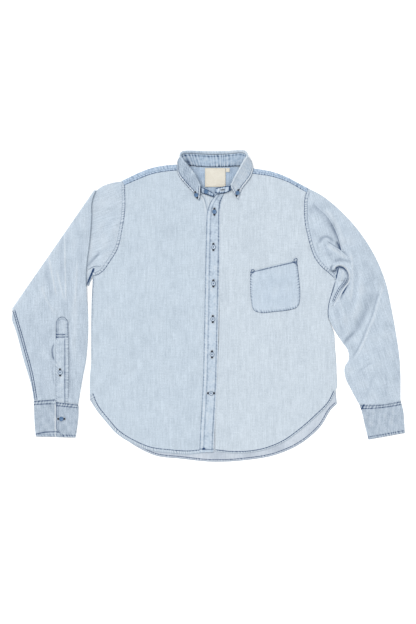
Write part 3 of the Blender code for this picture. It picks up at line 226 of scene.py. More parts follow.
RIGHT_SLEEVE_FOLDS = [
    (12, 16, 1.5, 0.0, 8, [(-452, 30), (-440, -60), (-420, -150)]),
    (2.2, 3, 1.0, 0.44, 1.5, [(-357, 181), (-356, 90), (-354, 6)]),
    (2.2, 3, 1.0, 0.46, 1.6, [(-401, 142), (-390, 84), (-377, 22)]),
    (2.2, 3, 0.8, 0.40, 1.4, [(-377, 88), (-368, 52), (-359, 14)]),
    (2.2, 3, 0.9, 0.32, 1.5, [(-416, 50), (-404, 18), (-384, -18)]),
    (3, 3, 0.6, 0.20, 2.0, [(-326, 120), (-328, 60), (-332, 0)]),
    (7, 8, -1.0, -0.10, 5, [(-366, 170), (-364, 90), (-362, 20)]),
    (7, 8, -1.0, -0.10, 5, [(-410, 130), (-400, 76), (-388, 10)]),
    (9, 12, -1.0, -0.06, 8, [(-346, 190), (-342, 90), (-340, -30)]),
    (12, 14, 1.2, 0.12, 9, [(-336, 60), (-332, -40), (-335, -150)]),
    (2.5, 4, -1.5, -0.75, 1.6, [(-384, -95), (-388.5, -108), (-388, -124), (-384, -137)]),
    (2.5, 4, -1.0, -0.30, 1.6, [(-387, -148), (-387.5, -165), (-384, -200)]),
    (2.2, 3, -0.9, -0.26, 1.6, [(-345.5, -60), (-345, -130), (-345, -230)]),
    (6, 6, -1.0, -0.10, 5, [(-420, -228), (-414, -204), (-418, -170)]),
    (6, 6, -0.9, -0.10, 5, [(-342, -236), (-336, -210), (-338, -180)]),
]
BASE_FOLDS = [
    (10, 14, 2.2, 0.05, 6, [(-228, 196), (-252, 158), (-280, 128)]),
    (4, 5, -1.6, -0.42, (2, 5), [(-268, 134), (-279, 121), (-291, 109), (-302, 95)]),
    (4, 5, -1.4, -0.20, 3, [(-258, 106), (-270, 101), (-280, 92)]),
    (2.6, 4, -2.2, -0.6, (3, 6), [(-285, 92), (-289, 82), (-294, 72), (-298, 61), (-302, 50)]),
    (3, 4, 1.2, 0.22, 3, [(-294, 94), (-298, 84), (-302, 72)]),
    (9, 12, -1.2, -0.05, 8, [(-222, 236), (-250, 222), (-280, 210)]),
    (8, 9, -1.5, -0.09, 7, [(-228, 224), (-250, 198), (-280, 166)]),
    (9, 12, 1.0, 0.04, 8, [(-226, 270), (-250, 262), (-276, 254)]),
    (4, 5, -0.8, -0.10, 3, [(-226, 150), (-244, 140), (-262, 136)]),
]
BODY_FOLDS = [
    (26, 34, 0.9, 0.02, 22, [(-250, 60), (-180, 40), (-110, 60)]),
    (22, 30, -0.8, -0.02, 20, [(-262, 10), (-190, -60), (-150, -160)]),
    (24, 30, 0.8, 0.02, 20, [(-120, 250), (-130, 150), (-110, 20)]),
    (20, 28, -0.7, -0.03, 18, [(-60, 210), (-70, 80), (-50, -60)]),
    (22, 30, 0.9, 0.02, 20, [(70, 230), (84, 120), (76, -60)]),
    (24, 30, -0.8, -0.02, 20, [(250, 60), (262, -60), (240, -200)]),
    (30, 34, 0.8, 0.02, 24, [(150, -60), (180, -180), (150, -290)]),
    (26, 30, -0.7, -0.02, 20, [(-60, -150), (-80, -250), (-60, -340)]),
    (10, 14, -0.9, -0.06, 8, [(282, 118), (270, 84), (240, 58)]),
    (5, 6, -0.7, -0.07, 4, [(90, 218), (120, 206), (150, 190)]),
    (5, 6, -0.6, -0.06, 4, [(150, 238), (176, 222), (190, 200)]),
]

# --- collar stations ---
STAND_COLUMNS = ("seam_x", "seam_y", "seam_z", "roll_x", "roll_y", "roll_z")
STAND_STATIONS = [
    (15, 271.5, 7.0, 13, 280.5, 8.2),
    (-1, 276.5, 6.8, -1, 288.8, 9.4),
    (-17, 282.5, 6.4, -18, 297.5, 12.5),
    (-35, 299, 6.0, -30, 320, 17),
    (-52, 318, 6.0, -45, 339, 18),
    (-63, 338, 6.0, -59, 356, 19),
    (-64.5, 348, 5.6, -66, 369, 20),
    (-52, 350.5, 3.4, -59, 376.5, 18.5),
    (-20, 348, 2.8, -25, 376.5, 17),
    (13, 347, 2.8, 13, 375, 16.5),
    (46, 347.5, 2.8, 50, 376.5, 17),
    (76, 349, 3.4, 85, 379, 18.5),
    (90, 344, 5.6, 95, 370, 20),
    (90, 333, 6.0, 87, 354, 19),
    (81, 319, 6.0, 76, 334, 18),
    (69, 304.5, 6.0, 65, 315, 16),
    (57, 288, 6.6, 56.5, 299.5, 12.5),
    (38, 280.5, 7.8, 40, 297, 10.4),
    (17, 280.5, 9.0, 18, 292, 10.4),
]
FIRST_COLLAR_STATION, LAST_COLLAR_STATION = 2, 16     # of the stand's, with the collar's ends
COLLAR_COLUMNS = ("edge_x", "edge_y", "edge_z", "rise")
COLLAR_STATIONS = [
    (-21.5, 262, 5.0, 1.0),
    (-37.5, 283, 5.0, 1.2),
    (-57, 304, 5.0, 1.5),
    (-72.5, 325, 5.2, 2.0),
    (-76, 350, 5.6, 3.0),
    (-71, 366, 2.2, 4.5),
    (-27, 366, 1.6, 5.0),
    (13, 364, 1.6, 5.5),
    (52, 366, 1.6, 5.0),
    (100, 369, 2.2, 4.5),
    (112, 345, 5.6, 3.0),
    (108, 324, 5.2, 2.0),
    (96, 306, 5.0, 1.5),
    (84, 290, 5.0, 1.2),
    (75, 264, 5.0, 1.0),
]
STATION_STEPS = 22         # steps from one station to the next
COLLAR_SEAM = 1.2          # from the stand's edge to the collar's first row
ROLL_RADIUS = 2.0
GROOVE_WIDTH = 1.25        # of the dark line beside a raised seam
PIT_RADIUS, PIT_SIZE = 1.35, 0.62      # where a button's four holes are, and how wide
EVEN = (1.0, 1.0)          # a seam whose wear is the same from end to end

# --- buttons, holes and labels ---
BUTTON_RADIUS = 5.6
BUTTON_HEIGHT = 2.4
BUTTON_CLEARANCE = 0.45
HOLE_LENGTH = 20.5         # of a buttonhole's opening and its thread
HOLE_WIDTH = 6.0           # of the opening, and of the dark bar of painted shade over it
CUFF_HOLE_WIDTH = 7.0
TAB_HOLE_LENGTH, TAB_HOLE_WIDTH = 12.0, 2.6
FRONT_BUTTONS = [(16, 234), (13.5, 146), (13.5, 55), (12, -34), (10, -122), (7.5, -219)]
COLLAR_BUTTON_RIGHT = (-29, 276)
COLLAR_BUTTON_LEFT = (73, 281)
STAND_BUTTON = (-5, 285)
TAB_HOLE = (36, 288.5)
CUFF_BUTTON = (-366, -283)
SLEEVE_PLACKET_BUTTON = (-369, -167)
LABEL_BOX = (-7.5, 296, 44, 343.5)
TAG_BOX = (45, 333.5, 54, 343.5)

# --- colours, out of 255, and the light on them ---
LIGHT_LEVEL = 1.6          # what a white sheet on the floor sends to the camera
AIR_LIGHT = 1.06           # the part of it that comes evenly from all round
LAMP_SLANT = np.radians(34)
LAMP_ANGLE = 0.6
AIR_TINT = (0.96, 1.0, 1.045)     # shadows lean to blue, and both lights together are white
LAMP_TINT = (1.079, 1.0, 0.911)
FRONT_RIGHT_BLUE = (201, 215, 228)
FRONT_LEFT_BLUE = (207, 219, 230)
BACK_BLUE = (204, 214, 226)
YOKE_BLUE = (184, 205, 228)
SLEEVE_BLUE = (198, 212, 226)
CUFF_BLUE = (184, 198, 213)
POCKET_BLUE = (199, 214, 229)
PLACKET_BLUE = (197, 213, 229)
COLLAR_BLUE = (195, 211, 227)
STAND_BLUE = (190, 211, 233)
# colours that wear and shading mixes towards: indigo for dark dye and painted shade, near white for
# rubbed wear and painted highlights
INDIGO_DYE_AND_SHADE = (40, 70, 110)
PALE_WEAR_AND_HIGHLIGHT = (240, 244, 247)
THREAD = (96, 122, 162)


# --- lines, patches and heights ---
def unit(vectors):
    """Vectors brought to length 1."""
    return vectors / (np.linalg.norm(vectors, axis=-1, keepdims=True) + 1e-12)


def ease(value):
    """0 below 0, 1 above 1, and a smooth step between: t t (3 - 2 t)."""
    t = np.clip(value, 0.0, 1.0)
    return t * t * (3 - 2 * t)


def run_lengths(line):
    """Length along a line up to each of its points."""
    return np.concatenate([[0.0], np.cumsum(np.linalg.norm(np.diff(line, axis=0), axis=1))])


def points_at(at, length, line):
    """Points of a line at lengths along it, where length is that up to each of its points."""
    return np.column_stack([np.interp(at, length, column) for column in line.T])


def hermite(t, start, end, start_slope, end_slope):
    """A cubic from start to end with the given slopes, at shares t of the way."""
    return ((1 + 2 * t) * (1 - t) ** 2 * start + t * (1 - t) ** 2 * start_slope
            + t * t * (3 - 2 * t) * end + t * t * (t - 1) * end_slope)


def smooth_line(points, shares):
    """Points at the given shares of the length of a smooth curve through the given points.

    Each span is a cubic Hermite curve whose slopes come from the points on both sides. An
    integer gives that many even steps.
    """
    if np.isscalar(shares):
        shares = np.linspace(0.0, 1.0, shares + 1)
    knots = np.array(points, dtype=float)
    reach = run_lengths(knots)
    slopes = np.gradient(knots, reach, axis=0)
    fine = np.linspace(0.0, reach[-1], 24 * len(knots))
    span = np.clip(np.searchsorted(reach, fine, side="right") - 1, 0, len(knots) - 2)
    width = (reach[span + 1] - reach[span])[:, None]
    t = (fine - reach[span])[:, None] / width
    curve = hermite(t, knots[span], knots[span + 1], width * slopes[span], width * slopes[span + 1])
    length = run_lengths(curve)
    return points_at(np.asarray(shares) * length[-1], length, curve)


def even_path(points, step):
    """A smooth line with points about one step apart."""
    return smooth_line(points, max(4, int(run_lengths(smooth_line(points, 200))[-1] / step)))


def cubic_at(values, at):
    """Values of evenly spaced rows at positions between them, by cubic Hermite spans."""
    values = np.asarray(values, dtype=float)
    slopes = np.gradient(values, axis=0)
    span = np.clip(np.floor(at).astype(int), 0, len(values) - 2)
    t = (at - span).reshape((-1,) + (1,) * (values.ndim - 1))
    return hermite(t, values[span], values[span + 1], slopes[span], slopes[span + 1])


def resampled(grid, row_shares, column_shares):
    """A grid at new shares of its rows and columns, by cubic spans both ways."""
    rows = cubic_at(grid, row_shares * (grid.shape[0] - 1))
    return cubic_at(rows.swapaxes(0, 1), column_shares * (grid.shape[1] - 1)).swapaxes(0, 1)


def patch(low, high, first, last):
    """Coons patch: the mean pull of the two pairs of edges, less the corners."""
    u = np.linspace(0.0, 1.0, len(low))[None, :, None]
    v = np.linspace(0.0, 1.0, len(first))[:, None, None]
    across = (1 - v) * low[None] + v * high[None]
    along = (1 - u) * first[:, None] + u * last[:, None]
    corners = ((1 - u) * (1 - v) * low[0] + u * (1 - v) * low[-1]
               + (1 - u) * v * high[0] + u * v * high[-1])
    return across + along - corners


def ruled(first, last, columns):
    """Rows of points from each point of one line straight across to that of another."""
    share = np.linspace(0.0, 1.0, columns)[None, :, None]
    return (1 - share) * first[:, None] + share * last[:, None]


def relaxed(plan, rounds=300):
    """The grid with its inner points spread by the equations of an inverse harmonic grid."""
    grid = plan.copy()
    for _ in range(rounds):
        across = (grid[1:-1, 2:] - grid[1:-1, :-2]) / 2
        along = (grid[2:, 1:-1] - grid[:-2, 1:-1]) / 2
        alpha = (along ** 2).sum(axis=2, keepdims=True) + 1e-6
        gamma = (across ** 2).sum(axis=2, keepdims=True) + 1e-6
        beta = (across * along).sum(axis=2, keepdims=True)
        twist = grid[2:, 2:] - grid[:-2, 2:] - grid[2:, :-2] + grid[:-2, :-2]
        target = (alpha * (grid[1:-1, 2:] + grid[1:-1, :-2]) - beta * twist / 2
                  + gamma * (grid[2:, 1:-1] + grid[:-2, 1:-1])) / (2 * (alpha + gamma))
        grid[1:-1, 1:-1] += 0.7 * (target - grid[1:-1, 1:-1])
    return grid


def sideways(line):
    """Unit vectors to the left of a plan line."""
    run = unit(np.gradient(line, axis=0))
    return np.column_stack([-run[:, 1], run[:, 0]])


def drawn_in(line, inside):
    """A seam line moved sideways by half its gap, to the side that the point inside lies on."""
    side = sideways(line)
    middle = len(line) // 2
    facing = np.sign(np.dot(np.asarray(inside, float) - line[middle], side[middle]))
    return line + SEAM_HALF * facing * side


def edge_at(points, y):
    """The x of an edge line at the given y."""
    line = smooth_line(points, 60)
    order = np.argsort(line[:, 1])
    return np.interp(y, line[order, 1], line[order, 0])


def waves(x, y, size, seed):
    """Smooth unevenness from -1 to 1: the mean of nine sine waves about one size long."""
    draw = np.random.default_rng(seed)
    angles = draw.uniform(0, np.pi, 9)
    sizes = size * draw.uniform(0.7, 1.5, 9)
    phases = draw.uniform(0, 2 * np.pi, 9)
    total = 0.0
    for angle, length, phase in zip(angles, sizes, phases):
        total = total + np.sin(2 * np.pi * (x * np.cos(angle) + y * np.sin(angle)) / length + phase)
    return total / 4.0


def line_offsets(x, y, points, steps=40):
    """Signed distance to a smooth line, and the share of its length that is nearest."""
    path = smooth_line(points, steps)
    middles = (path[1:] + path[:-1]) / 2
    runs = unit(np.diff(path, axis=0))
    dx = x[..., None] - middles[:, 0]
    dy = y[..., None] - middles[:, 1]
    nearest = np.argmin(dx * dx + dy * dy, axis=-1)
    pick = np.take_along_axis
    ndx = pick(dx, nearest[..., None], -1)[..., 0]
    ndy = pick(dy, nearest[..., None], -1)[..., 0]
    run = runs[nearest]
    along = ndx * run[..., 0] + ndy * run[..., 1]
    step = np.linalg.norm(np.diff(path, axis=0), axis=1)[nearest]
    past = np.maximum(np.abs(along) - step / 2, 0.0)
    side = ndy * run[..., 0] - ndx * run[..., 1]
    signed = np.where(side < 0, -1.0, 1.0) * np.hypot(side, past)
    return signed, (nearest + 0.5 + np.clip(along / step, -0.5, 0.5)) / len(middles)


def folds_at(x, y, folds):
    """Height and painted shading of soft folds: exp(-(distance / width) squared), faded at both ends.

    The shading is darker along folds whose height is below 0 and paler along those above 0, as
    painted shade and painted highlight. Its width is one number or a pair, for the left and the
    right of the line.
    """
    x, y = np.asarray(x, dtype=float), np.asarray(y, dtype=float)
    height, wear_and_shading = np.zeros_like(x), np.zeros_like(x)
    for left, right, rise, tone, tone_width, points in folds:
        offset, share = line_offsets(x, y, points)
        width = np.where(offset > 0, left, right)
        tone_left, tone_right = np.broadcast_to(tone_width, 2)
        fade = ease(share / 0.2 + 0.25) * ease((1 - share) / 0.2 + 0.25)
        height = height + rise * mark(offset, width) * fade
        # tone paints shade along valleys and highlight along ridges
        wear_and_shading = wear_and_shading + tone * mark(offset, np.where(offset > 0, tone_left, tone_right)) * fade
    return height, wear_and_shading


def dome(x, low_x, high_x, height):
    """A flat arch between two edges: height times (4 t (1 - t)) to the power 0.7."""
    t = np.clip((x - low_x) / np.maximum(high_x - low_x, 1.0), 0.0, 1.0)
    return height * (4 * t * (1 - t)) ** 0.7


def front_height(x, y):
    """Middle height of the fronts: least at the hem and side seams, with the body's folds."""
    hem = np.interp(x, *np.array(HEM_RIGHT + HEM_LEFT, dtype=float).T)
    from_side = np.minimum(x - SIDE_RIGHT[-1][0], SIDE_LEFT[-1][0] - x) / SIDE_REACH
    above_armpit = (y - SIDE_LEFT[-1][1]) / SIDE_REACH
    inward = np.maximum(ease(from_side), ease(above_armpit)) * ease((y - hem) / HEM_REACH)
    relief = folds_at(x, y, BODY_FOLDS)[0] + 0.35 * waves(x, y, 85, 3) + 0.12 * waves(x, y, 24, 4)
    low_at_neck = ease((300 - y) / 40)
    return FRONT_EDGE + (FRONT_RISE + np.maximum(relief + 0.5, 0.0) * low_at_neck) * inward


def inside_loop(x, y):
    """Signed distance from the edge of the upper fold at the left armpit, below 0 inside."""
    edge = smooth_line(LOOP_TOP + LOOP_LOW[1:], 60)
    ring = np.vstack([edge, [(292, 0), (288, 60), (300, 84)]])
    start, end = ring, np.roll(ring, -1, axis=0)
    crossing = np.zeros(np.shape(x), dtype=int)
    nearest = np.full(np.shape(x), 1e9)
    for index, (a, b) in enumerate(zip(start, end)):
        spans = (a[1] > y) != (b[1] > y)
        at = a[0] + (y - a[1]) * (b[0] - a[0]) / (b[1] - a[1] + 1e-9)
        crossing += (spans & (x < at)).astype(int)
        if index < len(edge) - 1:
            run = b - a
            t = np.clip(((x - a[0]) * run[0] + (y - a[1]) * run[1]) / (run @ run), 0, 1)
            gap = np.hypot(x - a[0] - t * run[0], y - a[1] - t * run[1])
            nearest = np.minimum(nearest, gap)
    return np.where(crossing % 2 == 1, -nearest, nearest)


def puff_at(y):
    """Share of a sleeve's relief at a place: all of it, and less near its cuff."""
    return LEAST_PUFF + (1 - LEAST_PUFF) * ease((y - SLEEVE_END_Y) / CUFF_REACH)


def left_sleeve_surface(x, y):
    """Middle height and wear with painted fold shading of the left sleeve's upper layer, with the step
    of its armpit fold and a painted shadow under that step's edge.
    """
    armpit = LEFT_UNDER_EDGE[0][1]
    inner = np.where(y > armpit, edge_at(ARMHOLE_LEFT, y), edge_at(LEFT_UNDER_EDGE, y))
    outer = edge_at(LEFT_TOP_EDGE, y)
    from_armhole = ease((x - inner) / ARMHOLE_RISE_REACH)
    arch = dome(x, inner, outer, DOME_LEFT_SLEEVE) * np.where(y > armpit, from_armhole, 1.0)
    near_edge = ease((x - inner) / EDGE_REACH) * ease((outer - x) / EDGE_REACH)
    shade = np.maximum(near_edge, 0.8 * ease((x - inner) / 3.0) * ease((outer - x) / 3.0))
    outside = inside_loop(x, y)
    fade = np.exp(-np.clip(outside, 0, None) / LOOP_REACH)
    step = LOOP_HEIGHT * ease((outside + 1.5) / 4) * fade * ease((x - 276) / 30)
    folds, wear_and_shading = folds_at(x, y, LEFT_SLEEVE_FOLDS)
    creases = 0.5 * waves(x, y, 60, 11) + 0.15 * waves(x, y, 20, 12)
    relief = arch + (folds + creases + step) * near_edge
    # painted shadow on the low side of the fold's edge, just inside it, under the layer that overhangs
    shadow_under_top = ease((y - 76) / 16) * mark(outside + 3.5, 3.2)
    shadow_under_side = ease((y - 30) / 20) * mark(outside + 3.2, 3.2)
    return UP + relief * puff_at(y), (wear_and_shading - 0.6 * shadow_under_top - 0.45 * shadow_under_side) * shade


def turned_lift(x, y):
    """Height of the turned part over the surface: full over the part below, none beyond it."""
    start, end = np.array(BASE_UNDER_EDGE[0], float), np.array(FOLD_AXIS_LOW, float)
    run = unit(end - start)
    beyond = (y - start[1]) * run[0] - (x - start[0]) * run[1] - DROOP_START
    full = 2 * FOLD_AXIS_HEIGHT - UP - LOW
    return full * (1 - ease(beyond / DROOP_REACH))


def turned_surface(x, y):
    """Middle height, and wear with painted fold shading, of the upper layer of the right sleeve's turned
    part.
    """
    outer = edge_at([FOLD_AXIS_TOP] + TURNED_UNDER_EDGE, y)
    inner = edge_at(TURNED_TOP_EDGE, y)
    near_edge = ease((x - outer) / AXIS_REACH) * ease((inner - x) / EDGE_REACH)
    arch = dome(x, outer, inner, DOME_RIGHT_SLEEVE) * ease((x - outer) / ARMHOLE_RISE_REACH)
    folds, wear_and_shading = folds_at(x, y, RIGHT_SLEEVE_FOLDS)
    creases = 0.4 * waves(x * 2.2, y, 70, 21) + 0.12 * waves(x, y, 20, 22)
    relief = arch + (folds + creases) * near_edge
    return (UP + turned_lift(x, y) + relief * puff_at(y),
            wear_and_shading * near_edge - 0.05 * ease((-20 - y) / 60))


def base_surface(x, y):
    """Middle height, and wear with painted fold shading, of the upper layer of the right sleeve below
    its turned part.
    """
    top, low = np.array(FOLD_AXIS_TOP), np.array(FOLD_AXIS_LOW)
    run = unit(top - low)
    from_axis = (x - low[0]) * run[1] - (y - low[1]) * run[0]
    shown = ease((x - BASE_SHOWN_X) / AXIS_REACH) * ease(from_axis / AXIS_REACH)
    near_armhole = ease((edge_at(ARMHOLE_RIGHT, y) - x) / AXIS_REACH)
    folds, wear_and_shading = folds_at(x, y, BASE_FOLDS)
    relief = (BASE_PUFF + folds + 0.3 * waves(x, y, 50, 31)) * shown * near_armhole
    return UP + relief, wear_and_shading * near_armhole + 0.06


# --- materials ---
def linear(colour):
    """A colour out of 255, as the shader's albedo under LIGHT_LEVEL."""
    share = np.array(colour, dtype=float) / 255
    value = np.where(share <= 0.04045, share / 12.92, ((share + 0.055) / 1.055) ** 2.4)
    return tuple(np.clip(value / LIGHT_LEVEL, 0, 1)) + (1.0,)


class Nodes:
    """Short calls for building a material's node tree."""

    def __init__(self, name):
        self.material = bpy.data.materials.new(name)
        self.material.use_nodes = True
        self.tree = self.material.node_tree
        self.shader = self.tree.nodes["Principled BSDF"]
        self.link = self.tree.links.new

    def add(self, kind, values=(), **settings):
        """A node with its attributes and the values of its named inputs set."""
        made = self.tree.nodes.new(kind)
        for key, value in settings.items():
            setattr(made, key, value)
        for key, value in dict(values).items():
            made.inputs[key].default_value = value
        return made

    def join(self, sockets, values):
        """Each input linked to an output, or set to a number or colour."""
        for socket, value in zip(sockets, values):
            if isinstance(value, (int, float, tuple)):
                socket.default_value = value
            else:
                self.link(value, socket)

    def math(self, operation, first, second, clamp=False):
        """A Math node of two values, each an output or a number."""
        made = self.add("ShaderNodeMath", operation=operation, use_clamp=clamp)
        self.join(made.inputs, (first, second))
        return made.outputs[0]

    def mix(self, share, first, second):
        """A colour between two, each an output or a colour."""
        made = self.add("ShaderNodeMix", data_type="RGBA")
        self.join((made.inputs[0], made.inputs[6], made.inputs[7]), (share, first, second))
        return made.outputs[2]

    def two_tone(self, share, colour, spread=16):
        """A mix of the darker and the paler form of a colour."""
        return self.mix(share, *(linear([min(255.0, value + way * spread) for value in colour])
                                 for way in (-1, 1)))

    def grain(self):
        """The place on the cloth: metres, V along the warp."""
        return self.add("ShaderNodeUVMap", uv_map="grain").outputs[0]

    def place(self):
        """The place in the frame."""
        return self.add("ShaderNodeTexCoord").outputs["Object"]

    def wear_and_shading(self):
        """The wear_and_shading attribute: wear with painted shade and highlights on cloth, the share of
        the radius on a button.
        """
        return self.add("ShaderNodeAttribute", attribute_name="wear_and_shading").outputs["Fac"]

    def scaled(self, source, scale, turn=0.0):
        """A vector scaled, after a turn about Z."""
        made = self.add("ShaderNodeMapping", {"Rotation": (0, 0, turn), "Scale": scale})
        self.link(source, made.inputs["Vector"])
        return made.outputs[0]

    def noise(self, source, scale, detail=2.0, rough=0.5):
        """Noise from 0 to 1 of a scaled vector."""
        made = self.add("ShaderNodeTexNoise", {"Scale": 1.0, "Detail": detail, "Roughness": rough})
        self.link(self.scaled(source, scale), made.inputs["Vector"])
        return made.outputs[0]

    def weighed(self, parts):
        """0.5 plus each part's difference from 0.5 times its weight, held within 0 and 1."""
        total = 0.5
        for part, weight in parts:
            centred = self.math("SUBTRACT", part, 0.5)
            total = self.math("ADD", self.math("MULTIPLY", centred, weight), total)
        return self.math("MINIMUM", self.math("MAXIMUM", total, 0.0), 1.0)

    def bump(self, height, strength, distance):
        """A relief on the shader's normal."""
        made = self.add("ShaderNodeBump", {"Strength": strength, "Distance": distance})
        self.link(height, made.inputs["Height"])
        self.link(made.outputs[0], self.shader.inputs["Normal"])

    def finished(self, colour, **values):
        """The material, with its base colour and its shader's other inputs set."""
        self.link(colour, self.shader.inputs["Base Color"])
        for key, value in values.items():
            self.shader.inputs[key.replace("_", " ")].default_value = value
        return self.material


def denim(name, colour, slub=1.0, mottle=1.0, streaks=0.3):
    """Washed denim on the grain map and the wear_and_shading attribute.

    Short and long warp streaks, short weft ones, soft blotches and a twill of fine slanting lines
    shift the colour between a darker and a paler blue. Wear and shading below 0 turns it towards
    indigo, as in the valleys beside a seam and in painted shade, and above 0 towards white, as on
    its rubbed ridges and in painted highlights.
    """
    nodes = Nodes(name)
    grain = nodes.grain()
    warp = nodes.noise(grain, (420, 30, 1), 3.0, 0.65)
    fine = nodes.noise(grain, (900, 260, 1), 2.0, 0.6)
    weft = nodes.noise(grain, (40, 520, 1), 2.0, 0.6)
    blotch = nodes.noise(grain, (60, 45, 1), 3.0, 0.6)
    cloud = nodes.noise(grain, (11, 8, 1), 1.0)
    streak = nodes.noise(grain, (150, 5, 1), 2.0, 0.6)
    wave = nodes.add("ShaderNodeTexWave", {"Scale": 1.0, "Distortion": 1.2, "Detail": 1.0},
                     wave_type="BANDS", bands_direction="X")
    nodes.link(nodes.scaled(grain, (180, 180, 1), np.radians(28)), wave.inputs["Vector"])
    twill = wave.outputs[1]
    tone = nodes.weighed([(warp, 1.5 * slub), (fine, 1.7 * slub), (weft, 0.8), (streak, streaks),
                          (blotch, 0.5 * mottle), (cloud, 0.25 * mottle), (twill, 0.1)])
    wear_and_shading = nodes.wear_and_shading()
    # above 0 towards white, for rubbed wear and painted highlights; below 0 towards indigo, for dark dye
    # and painted shade
    rubbed_and_lit = nodes.mix(nodes.math("MAXIMUM", wear_and_shading, 0.0), nodes.two_tone(tone, colour),
                       linear(PALE_WEAR_AND_HIGHLIGHT))
    dyed_and_shaded = nodes.mix(nodes.math("MULTIPLY", wear_and_shading, -1.0, clamp=True), rubbed_and_lit, linear(INDIGO_DYE_AND_SHADE))
    nodes.bump(nodes.weighed([(warp, 0.4), (fine, 0.8), (weft, 0.5), (blotch, 0.5), (twill, 0.5)]),
               0.5, 0.0006)
    return nodes.finished(dyed_and_shaded, Roughness=0.9, Specular_IOR_Level=0.15, Sheen_Weight=0.06,
                          Sheen_Roughness=0.5)


def button_plastic(name, middle, face, rim):
    """Button plastic, coloured by the share of the radius, with faint swirls and a soft gloss."""
    nodes = Nodes(name)
    swirl = nodes.weighed([(nodes.noise(nodes.place(), (160, 160, 160), 3.0, 0.6), 1.6)])
    radius = nodes.wear_and_shading()
    plate = nodes.two_tone(swirl, face, 14)
    inner = nodes.math("MULTIPLY", nodes.math("SUBTRACT", 0.42, radius), 9.0, clamp=True)
    outer = nodes.math("MULTIPLY", nodes.math("SUBTRACT", radius, 0.72), 9.0, clamp=True)
    colour = nodes.mix(outer, nodes.mix(inner, plate, linear(middle)), linear(rim))
    return nodes.finished(colour, Roughness=0.35, Coat_Weight=0.15)


def thread(name, colour):
    """Twisted sewing thread: fine dark and pale flecks along its own length."""
    nodes = Nodes(name)
    ply = nodes.noise(nodes.place(), (1500, 1500, 1500), 1.0)
    nodes.bump(ply, 0.4, 0.0002)
    return nodes.finished(nodes.two_tone(nodes.weighed([(ply, 1.5)]), colour), Roughness=0.7)


def label_cotton():
    """Cream cotton tape: a plain weave of crossed ribs, a little uneven."""
    nodes = Nodes("label_cotton_woven")
    grain = nodes.grain()
    across = nodes.noise(grain, (1800, 260, 1), 1.0)
    along = nodes.noise(grain, (260, 1800, 1), 1.0)
    tone = nodes.weighed([(across, 0.8), (along, 0.8), (nodes.noise(grain, (60, 60, 1)), 0.8)])
    tint = nodes.mix(tone, linear((222, 216, 200)), linear((246, 242, 230)))
    edged = nodes.mix(nodes.math("MULTIPLY", nodes.wear_and_shading(), -1.0, clamp=True), tint,
                      linear((196, 186, 160)))
    nodes.bump(nodes.weighed([(across, 1.0), (along, 1.0)]), 0.5, 0.0003)
    return nodes.finished(edged, Roughness=0.8, Sheen_Weight=0.1)


def floor_paint():
    """Matt white paint with a trace of unevenness."""
    nodes = Nodes("floor_paint")
    cloud = nodes.weighed([(nodes.noise(nodes.place(), (3, 3, 3)), 1.0)])
    return nodes.finished(nodes.mix(cloud, (0.93, 0.93, 0.93, 1), (0.96, 0.96, 0.96, 1)),
                          Roughness=0.9)


# --- mesh builders ---
def in_scene(name, data):
    """An object of a mesh, lamp or camera, in the scene."""
    made = bpy.data.objects.new(name, data)
    bpy.context.scene.collection.objects.link(made)
    return made


def write_mesh(name, corners, faces, material, grain=None, wear_and_shading=None):
    """An object from arrays: corners in layout millimetres, faces all of the same count."""
    mesh = bpy.data.meshes.new(name)
    metres = (corners - np.array([*CENTRE, 0.0])) * MM
    mesh.vertices.add(len(corners))
    mesh.vertices.foreach_set("co", metres.astype(np.float32).ravel())
    mesh.loops.add(faces.size)
    mesh.loops.foreach_set("vertex_index", faces.astype(np.int32).ravel())
    mesh.polygons.add(len(faces))
    starts = np.arange(len(faces), dtype=np.int32) * faces.shape[1]
    mesh.polygons.foreach_set("loop_start", starts)
    if grain is not None:
        layer = mesh.uv_layers.new(name="grain")
        layer.data.foreach_set("uv", (grain[faces.ravel()] * MM).astype(np.float32).ravel())
    if wear_and_shading is not None:
        layer = mesh.attributes.new("wear_and_shading", "FLOAT", "POINT")
        layer.data.foreach_set("value", wear_and_shading.astype(np.float32).ravel())
    mesh.update(calc_edges=True)
    mesh.shade_smooth()
    mesh.materials.append(material)
    piece = in_scene(name, mesh)
    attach(piece, "root")
    return piece


def add_shell(name, material, wall, points, wear_and_shading, grain=None, keep=None, closed=False):
    """A shell of cloth on a grid of middle points, with Solidify's wall to both sides.

    Quads join each point to the next of its row and of its column. keep is a mask of the
    quads that are made, and closed joins the last column to the first.
    """
    index = np.arange(points[..., 0].size).reshape(points.shape[:2])
    beside = np.roll(index, -1, axis=1)
    quads = np.stack([index[:-1], beside[:-1], beside[1:], index[1:]], axis=-1)
    if not closed:
        quads = quads[:, :-1]
    quads = quads[keep] if keep is not None else quads.reshape(-1, 4)
    used, faces = np.unique(quads, return_inverse=True)
    grain = points[..., :2] if grain is None else grain
    piece = write_mesh(name, points.reshape(-1, 3)[used], faces.reshape(-1, 4), material,
                       grain.reshape(-1, 2)[used], wear_and_shading.reshape(-1)[used])
    shell = piece.modifiers.new("wall", "SOLIDIFY")
    shell.thickness = wall * MM
    shell.offset = 0.0
    shell.use_quality_normals = True
    return piece


def normals_of(points, closed=False):
    """Unit normals of a grid, on the side that faces up, or out where it is closed."""
    if closed:
        across = np.roll(points, -1, axis=1) - np.roll(points, 1, axis=1)
    else:
        across = np.gradient(points, axis=1)
    normals = unit(np.cross(across, np.gradient(points, axis=0)))
    if closed:
        outward = points - points.mean(axis=1, keepdims=True)
        facing = np.sign((normals * outward).sum(axis=-1).mean())
    else:
        facing = np.sign(normals[..., 2].mean())
    return normals * facing


def raised(points, amount, closed=False):
    """A grid of points moved along its normals by an amount for each."""
    return points + normals_of(points, closed) * np.asarray(amount)[..., None]


